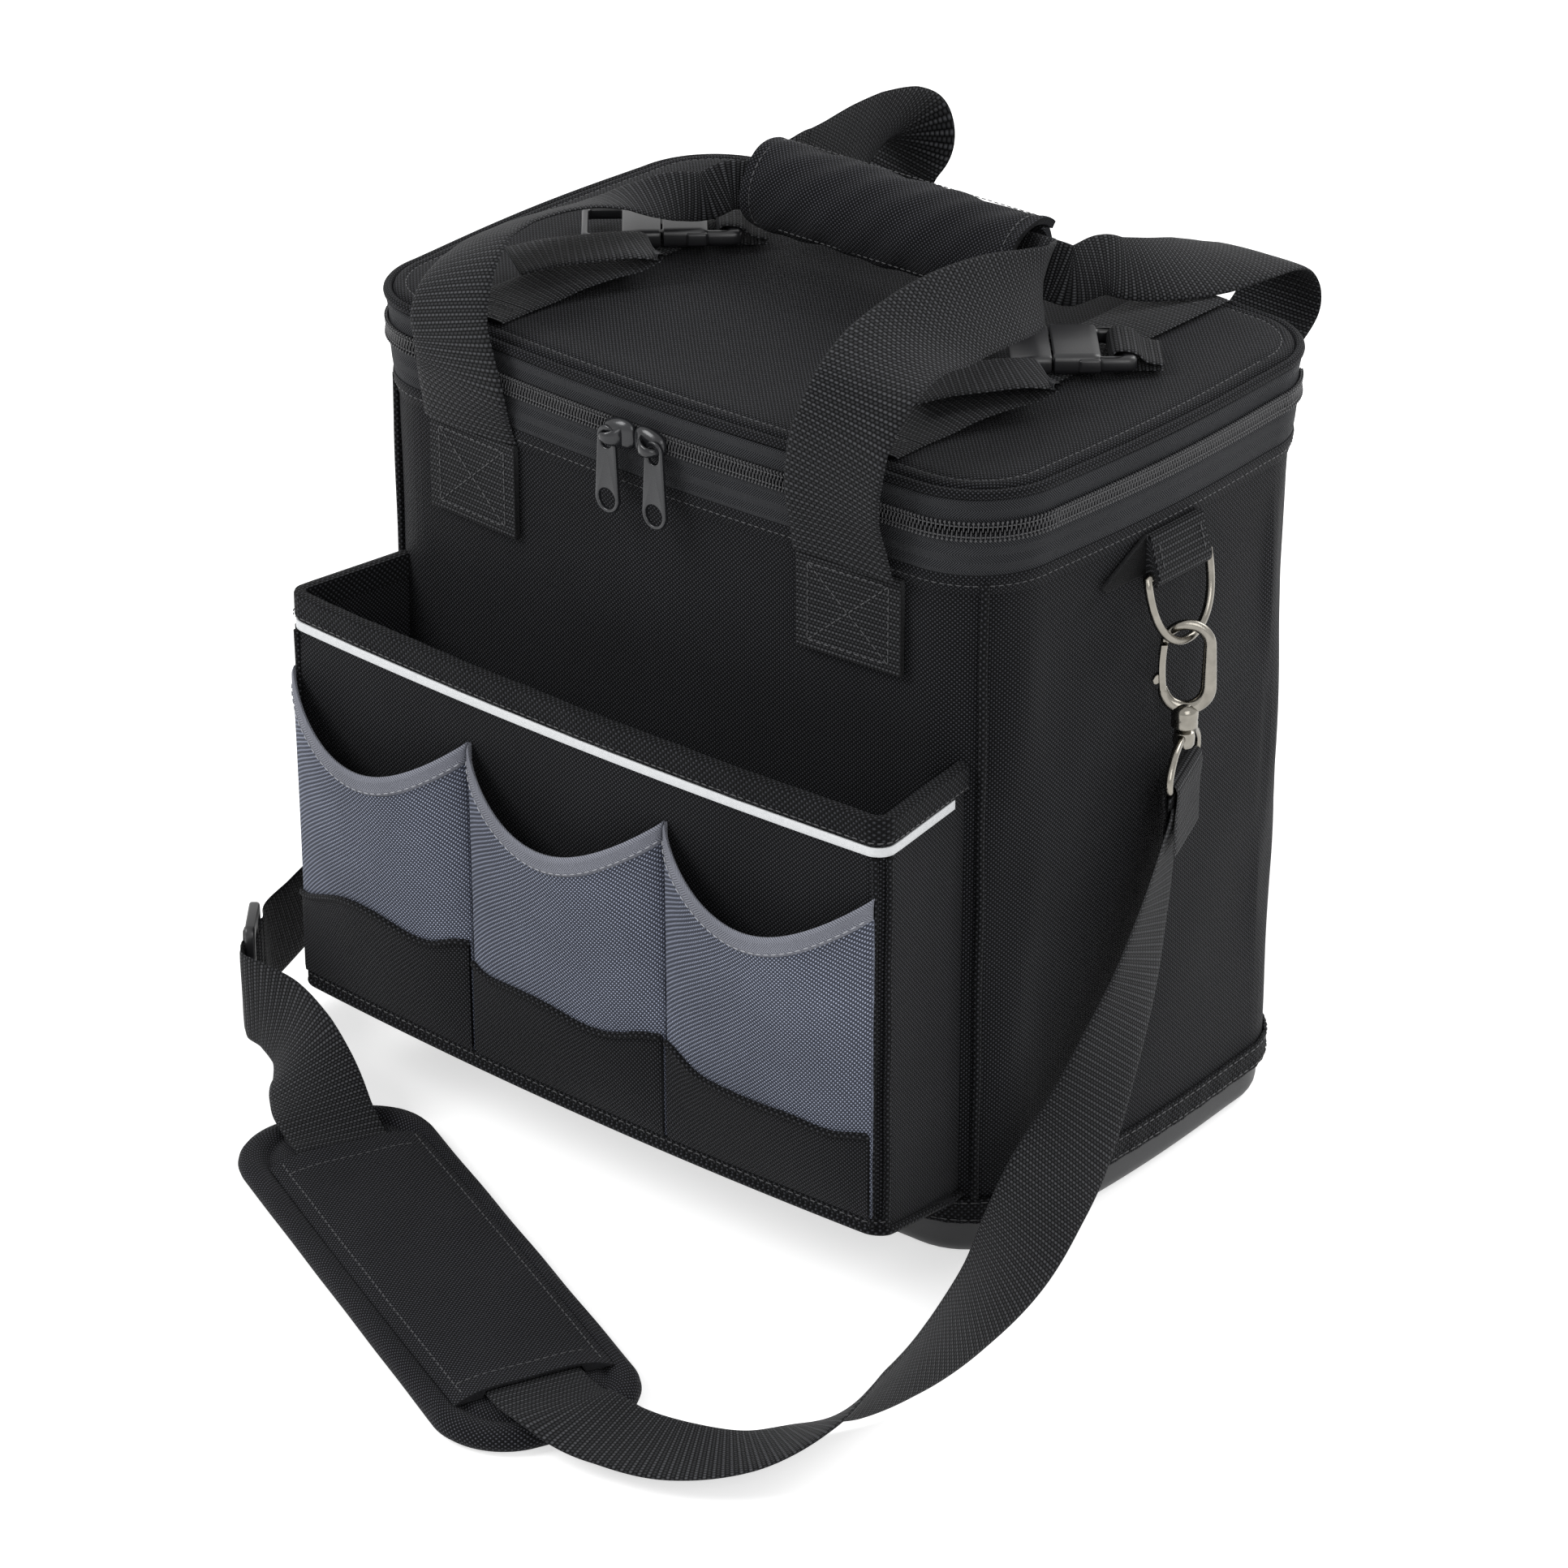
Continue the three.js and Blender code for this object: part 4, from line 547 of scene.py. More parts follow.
thread = bpy.data.materials.new("sewing_thread")
thread.use_nodes = True
tree = thread.node_tree
where = add_step(tree, "ShaderNodeTexCoord")
twist = add_step(tree, "ShaderNodeTexNoise", where.outputs["Object"], None, 1800.0, 2.0, 0.5)
tone = add_step(tree, "ShaderNodeMix", data_type="RGBA")
tree.links.new(twist.outputs[0], tone.inputs["Factor"])
tone.inputs[6].default_value = (0.012, 0.012, 0.013, 1)
tone.inputs[7].default_value = (0.075, 0.076, 0.082, 1)
shader = tree.nodes["Principled BSDF"]
tree.links.new(tone.outputs[2], shader.inputs["Base Color"])
shader.inputs["Roughness"].default_value = 0.5
shader.inputs["Sheen Weight"].default_value = 0.2
bump = add_step(tree, "ShaderNodeBump")
bump.inputs["Distance"].default_value = 0.0001
tree.links.new(twist.outputs[0], bump.inputs["Height"])
tree.links.new(bump.outputs[0], shader.inputs["Normal"])


def beans(name, spots, axes, material):
    """One bean at each spot, its points times the three axes there (length, side, height)."""
    shape, quads, tris = bean()
    points = (spots[:, None] + np.einsum("pk,nkj->npj", shape, axes)).reshape(-1, 3)
    shift = (np.arange(len(spots)) * len(shape))[:, None, None]
    faces = (np.asarray(quads)[None] + shift).reshape(-1, 4).tolist()
    faces += (np.asarray(tris)[None] + shift).reshape(-1, 3).tolist()
    return mesh_of(name, points, faces, np.zeros((sum(len(f) for f in faces), 2)), material)


def stitches(name, lines, material=None, pitch=3.6, length=2.7, thick=0.55, lift=0.1):
    """Rows of thread beans along lines of (points, outward normals), one bean per pitch."""
    spots, axes = [], []
    for points, normals in lines:
        points = np.asarray(points, float)
        normals = np.broadcast_to(np.asarray(normals, float), points.shape)
        run = np.concatenate([[0], np.cumsum(np.linalg.norm(np.diff(points, axis=0), axis=1))])
        at = np.arange(pitch / 2, run[-1] - pitch / 3, pitch)
        if not len(at):
            continue
        pick = lambda rows, where: np.stack([np.interp(where, run, rows[:, k]) for k in range(3)], -1)
        spot, n = pick(points, at), pick(normals, at)
        t = pick(points, at + 0.4) - pick(points, at - 0.4)
        t /= np.linalg.norm(t, axis=1)[:, None]
        n -= (n * t).sum(1)[:, None] * t
        n /= np.linalg.norm(n, axis=1)[:, None]
        spots.append(spot + n * lift)
        axes.append(np.stack([t * length, np.cross(n, t) * thick, n * thick * 0.8], 1))
    return beans(name, np.concatenate(spots), np.concatenate(axes), material or thread)


def sleeve_line(offset, ends=(-0.49, 0.49)):
    """A line along the sleeve at a share across it, on its top."""
    a = np.linspace(*ends, 80)
    i = np.clip(np.searchsorted(over, offset), 1, len(over) - 1)
    rows = [np.interp(a, along, top[:, i, k]) for k in range(3)]
    return lay_on_ground(np.stack(rows, -1)), [0, 0, 1]


def mouth_line(row):
    """A line across the sleeve near one mouth."""
    return lay_on_ground(top[row, 3:-3]), [0, 0, 1]


sleeve_thread = stitches("pad_sleeve_stitches", [
    sleeve_line(-0.44), sleeve_line(0.435), mouth_line(4), mouth_line(-5)])
settle(sleeve_thread, "bag", "body_fabric")
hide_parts("pad_sleeve")

# Adjuster.
# A moulded frame with two slots, the strap woven through it and folded back round its middle
# bar. Glossy black plastic.

# Surface wear: slow clouds for uneven gloss and stretched noise for fine scratches.
surface_wear, wear_in, wear_out = new_group("surface_wear", [("Place", None), ("Size", 0.02)],
    ["Cloud", "Scratch"])
cloud_scale = sums(surface_wear, "DIVIDE", 1.0, wear_in.outputs["Size"])
cloud = add_step(surface_wear, "ShaderNodeTexNoise", wear_in.outputs["Place"], None, cloud_scale, 4.0, 0.6)
streak = add_step(surface_wear, "ShaderNodeMapping", wear_in.outputs["Place"])
streak.inputs["Rotation"].default_value = (0.4, 0.7, 0.2)
streak.inputs["Scale"].default_value = (260, 5200, 1700)
scratch = add_step(surface_wear, "ShaderNodeTexNoise", streak.outputs[0], None, 1.0, 2.0, 0.5)
surface_wear.links.new(cloud.outputs[0], wear_out.inputs["Cloud"])
surface_wear.links.new(scratch.outputs[0], wear_out.inputs["Scratch"])


def hard_material(name, dark, light, roughness, spread, depth, metallic=0.0, coat=0.0, size=0.02):
    """Plastic or metal: clouds mix two tones and move the roughness, scratches and clouds make a
    bump of the given depth in metres."""
    material = bpy.data.materials.new(name)
    material.use_nodes = True
    tree = material.node_tree
    shader = tree.nodes["Principled BSDF"]
    where = tree.nodes.new("ShaderNodeTexCoord")
    wear = place_group(tree, surface_wear, where.outputs["Object"], Size=size)
    tone = add_step(tree, "ShaderNodeMix", data_type="RGBA")
    tree.links.new(wear.outputs["Cloud"], tone.inputs["Factor"])
    tone.inputs[6].default_value = (*dark, 1)
    tone.inputs[7].default_value = (*light, 1)
    tree.links.new(tone.outputs[2], shader.inputs["Base Color"])
    mixed = sums(tree, "MULTIPLY", sums(tree, "ADD", wear.outputs["Cloud"], wear.outputs["Scratch"]),
        spread)
    tree.links.new(sums(tree, "ADD", mixed, roughness - spread), shader.inputs["Roughness"])
    bump = add_step(tree, "ShaderNodeBump")
    bump.inputs["Distance"].default_value = depth
    tree.links.new(wear.outputs["Scratch"], bump.inputs["Height"])
    tree.links.new(bump.outputs[0], shader.inputs["Normal"])
    shader.inputs["Metallic"].default_value = metallic
    shader.inputs["Coat Weight"].default_value = coat
    return material


gloss_plastic = hard_material("gloss_plastic", (0.008, 0.008, 0.009), (0.018, 0.018, 0.02), 0.34, 0.12,
    0.00002, coat=0.03)
tray_plastic = hard_material("tray_plastic", (0.022, 0.0225, 0.024), (0.034, 0.0345, 0.037), 0.5, 0.14,
    0.00006, size=0.004)


def flat_plate(name, outlines, thickness, bevel, axes, spot, material, resolution=2):
    """Plate from flat closed outlines (holes too) with rounded edges: a filled curve pushed out,
    turned into a mesh, then set along three axes at its spot. Everything is in millimetres."""
    curve = bpy.data.curves.new(name, "CURVE")
    curve.dimensions = "2D"
    curve.fill_mode = "BOTH"
    curve.extrude = (thickness / 2 - bevel) * 0.001
    curve.bevel_depth = bevel * 0.001
    curve.bevel_resolution = resolution
    curve.offset = -bevel * 0.001
    for outline in outlines:
        spline = curve.splines.new("POLY")
        spline.points.add(len(outline) - 1)
        flat = np.column_stack([np.asarray(outline) * 0.001, np.zeros(len(outline)), np.ones(len(outline))])
        spline.points.foreach_set("co", flat.ravel())
        spline.use_cyclic_u = True
    draft = bpy.data.objects.new(name + "_curve", curve)
    scene.collection.objects.link(draft)
    mesh = bpy.data.meshes.new_from_object(draft.evaluated_get(bpy.context.evaluated_depsgraph_get()))
    bpy.data.objects.remove(draft)
    bpy.data.curves.remove(curve)
    tidy = bmesh.new()
    tidy.from_mesh(mesh)
    bmesh.ops.remove_doubles(tidy, verts=tidy.verts, dist=1e-6)
    bmesh.ops.recalc_face_normals(tidy, faces=tidy.faces)
    tidy.to_mesh(mesh)
    tidy.free()
    spots = np.empty(len(mesh.vertices) * 3)
    mesh.vertices.foreach_get("co", spots)
    placed = spots.reshape(-1, 3) @ np.asarray(axes, float) + np.asarray(spot, float) * 0.001
    mesh.vertices.foreach_set("co", placed.ravel())
    if signed_volume(mesh) < 0:
        mesh.flip_normals()
    mesh.polygons.foreach_set("use_smooth", np.ones(len(mesh.polygons), bool))
    mesh.set_sharp_from_angle(angle=math.radians(50))
    mesh.materials.clear()
    mesh.materials.append(material)
    piece = bpy.data.objects.new(name, mesh)
    scene.collection.objects.link(piece)
    return piece


def bar_outline(wide, high, corner, steps=5, centre=(0, 0)):
    """Round-cornered rectangle: four quarter circles joined by straight sides."""
    t = np.linspace(0, np.pi / 2, steps)
    parts = []
    for k, (sx, sy) in enumerate([(1, 1), (-1, 1), (-1, -1), (1, -1)]):
        a = t + k * np.pi / 2
        parts.append(np.column_stack([sx * (wide / 2 - corner) + corner * np.cos(a),
            sy * (high / 2 - corner) + corner * np.sin(a)]))
    return np.concatenate(parts) + centre


adjuster = flat_plate(
    "adjuster_frame",
    [bar_outline(28, 54, 4), bar_outline(8.2, 43, 1.5, centre=(-6.3, 0)),
    bar_outline(8.2, 43, 1.5, centre=(6.3, 0))],
    4.4, 1.1, [adjuster_run, [0, 0, 1], adjuster_out], ADJUSTER_SPOT, gloss_plastic)
settle(adjuster, "bag", "buckle_plastic", "strap_adjuster")

# Body.
# A box of padded black polyester panels on a moulded tray with a stiff board. The outline is
# four round corners joined by slightly bulged sides, numbered by a turn from 0 to 8.
BODY_WIDTH, BODY_DEPTH, CORNER = 325.0, 210.0, 34.0
FRONT_BULGE, SIDE_BULGE = 6.0, 3.0


def body_plan(turn):
    """Outline points and outward normals. An even whole turn starts a quarter circle, an odd one a
    side that stands out in its middle by its bulge times (1 - s squared) to the power 1.3."""
    t = np.asarray(turn, float) % 8
    piece = t.astype(int)
    share = t - piece
    quarter = piece // 2
    angle = (quarter + share) * np.pi / 2
    half = np.array([BODY_WIDTH / 2 - CORNER, BODY_DEPTH / 2 - CORNER])
    centre = np.array([[1, 1], [-1, 1], [-1, -1], [1, -1]])[quarter] * half
    arc = np.stack([np.cos(angle), np.sin(angle)], -1)
    n = np.array([[0, 1], [-1, 0], [0, -1], [1, 0]])[quarter]
    along = np.stack([-n[..., 1], n[..., 0]], -1)
    s = 2 * share - 1
    wide = quarter % 2 == 0
    reach = np.where(wide, half[0], half[1])
    away = np.where(wide, BODY_DEPTH, BODY_WIDTH) / 2
    bulge = np.where(wide, FRONT_BULGE, SIDE_BULGE)
    rise = np.clip(1 - s * s, 0, 1)
    slope = -bulge * 2.6 * s * rise**0.3 / reach
    side = n * (away + bulge * rise**1.3)[..., None] + along * (reach * s)[..., None]
    lean = n - along * slope[..., None]
    lean = lean / np.linalg.norm(lean, axis=-1)[..., None]
    corner = (piece % 2 == 0)[..., None]
    return np.where(corner, centre + CORNER * arc, side), np.where(corner, arc, lean)


def even_turns(start, end, step):
    """Turns spaced by equal lengths of the outline."""
    t = np.linspace(start, end, 4001)
    spots, _ = body_plan(t)
    run = np.concatenate([[0], np.cumsum(np.linalg.norm(np.diff(spots, axis=0), axis=1))])
    return np.interp(np.linspace(0, run[-1], int(round(run[-1] / step)) + 1), run, t)


def round_body(name, turns, outline, material, closed=False, drift=None, smooth=50, swap=False):
    """A closed outline of (out, height) carried round the body; drift(turn, height) moves it out."""
    outline = np.asarray(outline, float)
    turns = turns[:-1] if closed else turns
    spot, normal = body_plan(turns)
    out = np.broadcast_to(outline[:, 0], (len(turns), len(outline)))
    if drift is not None:
        out = out + drift(turns[:, None], outline[None, :, 1])
    rings = np.empty((*out.shape, 3))
    rings[..., :2] = spot[:, None] + normal[:, None] * out[..., None]
    rings[..., 2] = outline[:, 1]
    uv = None
    if swap:
        run = gaps(rings, 0)
        around = gaps(np.concatenate([rings, rings[:, :1]], 1), 1)
        uv = np.stack(np.meshgrid(run, around, indexing="ij")[::-1], -1)
    return loft(name, rings, material, closed=closed, smooth=smooth, uv=uv)


def slab(inner, outer, low, high, step=5.0, rounding=0.6):
    """Closed outline of a wall: up its outer face, over a rounded top, down its inner face."""
    rise = np.linspace(low + rounding, high - rounding, max(2, int(round((high - low) / step)) + 1))
    up = np.column_stack([np.full(len(rise), outer), rise])
    down = np.column_stack([np.full(len(rise), inner), rise[::-1]])
    middle = (inner + outer) / 2
    turn = np.array([[outer - rounding * 0.3, high - rounding * 0.3], [middle, high],
        [inner + rounding * 0.3, high - rounding * 0.3]])
    back = np.array([[inner + rounding * 0.3, low + rounding * 0.3], [middle, low],
        [outer - rounding * 0.3, low + rounding * 0.3]])
    return np.concatenate([up, turn, down, back])


def level_stack(name, levels, material, step=5.0, smooth=40, centre_rings=()):
    """Level rings of the whole outline, each moved out and up, closed by flat caps."""
    spot, normal = body_plan(even_turns(0, 8, step)[:-1])
    rings = [np.column_stack([spot + normal * out, np.full(len(spot), height)]) for out, height in levels]
    inner = rings[-1]
    for share, height in centre_rings:
        rings.append(np.column_stack([inner[:, :2] * share, np.full(len(inner), height)]))
    return loft(name, np.array(rings), material, smooth=smooth)


edge = np.radians(np.linspace(0, 90, 10))
tray = level_stack("tray_shell", [
    *zip(-2 - 8 * (1 - np.sin(edge)), 8 * (1 - np.cos(edge))),
    (-2, 12), (-2, 16.2), (-2.4, 16.8), (-3, 17), (-3.8, 16.8), (-4.2, 16.2), (-4.2, 10), (-5.5, 5),
    (-10.2, 3)],
    tray_plastic, smooth=30)
settle(tray, "bag", "tray_plastic", "base_tray")

board_fibre = hard_material("board_fibre", (0.09, 0.08, 0.07), (0.14, 0.125, 0.11), 0.85, 0.2, 0.0002,
    size=0.006)
board = level_stack("stiff_board", [(-11.8, 3.35), (-11.2, 3.9), (-11.2, 5.7), (-11.8, 6.25)], board_fibre,
    step=9)
settle(board, "bag", "board", "base_board")

lining_cloth = woven_material(
    "lining_cloth", cloth_threads, (0.01, 0.01, 0.011), (0.035, 0.036, 0.04), 0.7, 0.0001, 0.1,
    Pitch=0.0006)
lining = level_stack("inner_lining", [
    (-8, 6.65), (-5.5, 8.2), (-4.5, 12.6), (-4.5, 160), (-4.5, 305.4), (-5, 306), (-5.5, 305.4),
    (-5.5, 160), (-5.5, 13.6), (-6.5, 9.2),
    (-9, 7.7)], lining_cloth, step=8, smooth=60)
settle(lining, "bag", "lining_fabric", "body_lining")


def fade(value, low, high):
    """0 below low, 1 above high, smooth cubic between."""
    t = np.clip((value - low) / (high - low), 0, 1)
    return t * t * (3 - 2 * t)


def front_drift(turn, height):
    """Small dents of the front and back panels, never outward: slow crossed waves."""
    calm = fade(height, 35, 90) * (1 - fade(height, 262, 292))
    dent = np.sin(turn * 5.1 + height * 0.021) * np.sin(turn * 2.3 - height * 0.035 + 1.1)
    return -0.9 * calm * (0.5 + 0.5 * dent)


def side_drift(turn, height):
    """Soft folds of the side panels: broad slanting waves that grow towards the top rear corner."""
    calm = fade(height, 40, 110) * (1 - fade(height, 270, 296))
    rear = np.abs(((turn - 6.5) % 8) / 2 - 0.5) * 2
    slant = np.sin((turn % 8) * 7.3 + height * 0.034) * (0.5 + 0.5 * rear)
    small = 0.35 * np.sin((turn % 8) * 13.0 - height * 0.05 + 0.6)
    return calm * (0.9 * slant + small)


wall = slab(-4.2, 0, 17.3, 308, step=5)
for name, start, drift in [("right_panel", 6.5, side_drift), ("back_panel", 0.5, front_drift),
                           ("left_panel", 2.5, side_drift), ("front_panel", 4.5, front_drift)]:
    panel = round_body(name + "_cloth", even_turns(start + 0.006, start + 1.994, 4.5), wall, body_cloth,
        drift=drift)
    settle(panel, "bag", "body_fabric", name)

# Foot tape and corner pipings.
# A woven tape is stitched round the foot of the body over the tray's edge; the front corners
# carry a sewn piping, a cord in cloth with its seam beside it.
tape_wave = lambda turn, height: 0.22 * np.sin(turn * 61) + 0.15 * np.sin(turn * 143 + height)
foot_tape = round_body("foot_tape", even_turns(0, 8, 3.0),
    slab(0.45, 1.7, 17.5, 29, step=2.4, rounding=0.5),
                       binding_cloth, closed=True, drift=tape_wave)
settle(foot_tape, "bag", "binding", "base_seam_tape")
ring_turns = even_turns(0, 8, 2.0)
spot, normal = body_plan(ring_turns)
lines = []
for height in (27.4, 19.6):
    lines.append((np.column_stack([spot + normal * 1.9, np.full(len(spot), height)]),
        np.column_stack([normal, np.zeros(len(spot))])))
foot_thread = stitches("foot_tape_stitches", lines, pitch=4.0, length=3.0)
settle(foot_thread, "bag", "binding")


def tube(name, path, radius, material, around=14, closed=False, steady=(0, 0, 1), squash=1.0, smooth=180):
    """Round rod along a path: circles square to it, turned towards one steady direction."""
    path = np.asarray(path, float)
    along = np.roll(path, -1, 0) - np.roll(path, 1, 0)
    if not closed:
        along = np.gradient(path, axis=0)
    along /= np.linalg.norm(along, axis=1)[:, None]
    side = np.cross(np.broadcast_to(np.asarray(steady, float), along.shape), along)
    side /= np.linalg.norm(side, axis=1)[:, None]
    up = np.cross(along, side)
    t = np.linspace(0, 2 * np.pi, around, endpoint=False)[None, :, None]
    r = np.broadcast_to(np.asarray(radius, float).reshape(-1, 1, 1), (len(path), 1, 1))
    rings = path[:, None] + r * (np.cos(t) * side[:, None] + squash * np.sin(t) * up[:, None])
    return loft(name, rings, material, closed=closed, smooth=smooth)


for sx, node in ((1, "front_right_piping"), (-1, "front_left_piping")):
    high = np.linspace(29.5, 297.5, 90)
    turn = 6.5 if sx > 0 else 4.5
    spot, normal = body_plan(np.full(len(high), turn))
    sway = 0.2 * np.sin(high * 0.09)
    path = np.column_stack([spot + normal * 1.0, high])
    path[:, 0] += sway
    cord = tube(node + "_cord", path, 1.7, binding_cloth, steady=(1, 0, 0))
    settle(cord, "bag", "binding", node)

# Zip.
# A coil zip runs round both sides and the front between the ends of the hinge tape: two
# herringbone tapes, each with a row of black nylon coil sewn along its edge.

# Herringbone: diagonal ribs that turn back at every column; height is the size of
# sin(pi * (u + zigzag of v) / pitch). Shade is painted shade: the height to the power 1.5,
# darker in the grooves between ribs.
herringbone, bone_in, bone_out = new_group(
    "herringbone", [("Place", None), ("Pitch", 0.0011), ("Column", 0.0034)], ["Height", "Shade"])
split = add_step(herringbone, "ShaderNodeSeparateXYZ", bone_in.outputs["Place"])
zigzag = sums(herringbone, "PINGPONG", split.outputs[1], bone_in.outputs["Column"])
slanted = sums(herringbone, "ADD", split.outputs[0], zigzag)
ribs = sums(herringbone, "ABSOLUTE", wave(herringbone, slanted, bone_in.outputs["Pitch"]))
herringbone.links.new(ribs, bone_out.inputs["Height"])
# Painted shade in the grooves between ribs.
herringbone.links.new(sums(herringbone, "POWER", ribs, 1.5), bone_out.inputs["Shade"])
zip_tape = woven_material(
    "zip_tape", herringbone, (0.001, 0.001, 0.0013), (0.06, 0.062, 0.068), 0.6, 0.0005, 0.08)
coil_nylon = hard_material("coil_nylon", (0.012, 0.012, 0.013), (0.05, 0.05, 0.055), 0.22, 0.1, 0.00002,
    size=0.003)

zip_run = even_turns(2.515, 8.485, 2.5)
lower_tape = round_body("zip_lower_tape", zip_run, [
    (1.5, 298.4), (1.9, 301), (2.5, 305.5), (2.9, 310), (3.1, 314), (3.1, 317.2), (2.8, 317.6),
    (2.4, 317.2),
    (2.2, 314), (2.0, 310), (1.6, 305.5), (1.0, 301), (0.6, 298.4), (1.0, 297.9)], zip_tape)
settle(lower_tape, "bag", "webbing", "zip_lower_half")
upper_tape = round_body("zip_upper_tape", zip_run, [
    (2.8, 320.4), (3.1, 320.9), (3.1, 324), (3.4, 327), (3.9, 330), (4.0, 331.2), (3.6, 331.6),
    (3.1, 331.2),
    (2.9, 327.5), (2.3, 324), (2.3, 320.9)], zip_tape)
settle(upper_tape, "lid", "webbing", "zip_upper_half")


def coil_row(name, turns, low, high, out, wide, deep, lean, material):
    """Upright beans along the zip, each leaning along it."""
    spot, normal = body_plan(turns)
    level = np.zeros(len(turns))
    side = np.column_stack([-normal[:, 1], normal[:, 0], level])
    facing = np.column_stack([normal, level])
    middle = np.column_stack([spot + normal * out, level + (low + high) / 2])
    upright = np.array([0, 0, high - low]) + side * lean
    return beans(name, middle, np.stack([upright, side * wide, facing * deep], 1), material)


tooth_turns = even_turns(2.53, 8.47, 0.8)
for name, body, turns, low, high, foot in [
    ("zip_lower", "bag", tooth_turns[::2], 314.6, 319.9, 315.5),
    ("zip_upper", "lid", tooth_turns[1::2], 318.1, 323.4, 322.5),
]:
    teeth = coil_row(name + "_coil", turns, low, high, 3.9, 0.74, 1.9, 0.25, coil_nylon)
    settle(teeth, body, "webbing")
    knots = coil_row(name + "_knots", turns, foot - 0.55, foot + 0.55, 4.75, 0.95, 0.7, 0.2, thread)
    settle(knots, body, "webbing")
    centre = 316.9 if body == "bag" else 321.1
    seam_line = coil_row(name + "_seam", turns + (tooth_turns[1] - tooth_turns[0]), centre - 0.3,
        centre + 0.3, 4.7, 1.2, 0.5, 0, thread)
    settle(seam_line, body, "webbing")

# Rolled cloth edge over the foot of the lower tape, with its row of stitches.
fold_turns = even_turns(0, 8, 3.0)
top_fold = round_body("panel_top_fold", fold_turns, [
    (0.5, 291.2), (1.0, 293), (1.9, 296), (2.3, 298.4), (2.1, 299.8), (1.5, 300.1), (0.9, 299.2),
    (0.5, 297), (0.3, 294), (0.2, 291.6)],
    body_cloth, closed=True)
settle(top_fold, "bag", "body_fabric")
spot, normal = body_plan(even_turns(0, 8, 3.0))
fold_thread = stitches("panel_top_stitches", [
    (np.column_stack([spot + normal * 1.75, np.full(len(spot), 295.6)]),
    np.column_stack([normal, np.zeros(len(spot))]))],
    pitch=3.2, length=2.3, thick=0.5)
settle(fold_thread, "bag", "body_fabric")

# Hinge tape: a wide woven tape across the back that joins body and lid.
hinge_tape = round_body("hinge_tape", even_turns(0.512, 2.488, 3.0), slab(0.5, 1.5, 295.4, 317.2, step=3),
    binding_cloth)
settle(hinge_tape, "bag", "body_fabric", "lid_hinge_tape")

# Zip sliders.
# Two die-cast sliders with a domed bridge that holds the pull's ring. Glossy black lacquer;
# their wide ends face each other.
lacquer = hard_material("black_lacquer", (0.012, 0.0125, 0.014), (0.03, 0.031, 0.035), 0.24, 0.12, 0.00002,
    metallic=0.25, coat=0.1)
FACE_Y = -111.0
SLIDER_LEFT_X, SLIDER_RIGHT_X = -15.0, 9.5
PULL_TOP = 321.4
SLIDER_Z = 318.6


def shrinking_dome(outline, levels):
    """Rings of one outline at each (share, height, aside) level."""
    return [np.column_stack([outline[:, 0] * share + aside, np.full(len(outline), height),
        outline[:, 1] * share])
            for share, height, aside in levels]


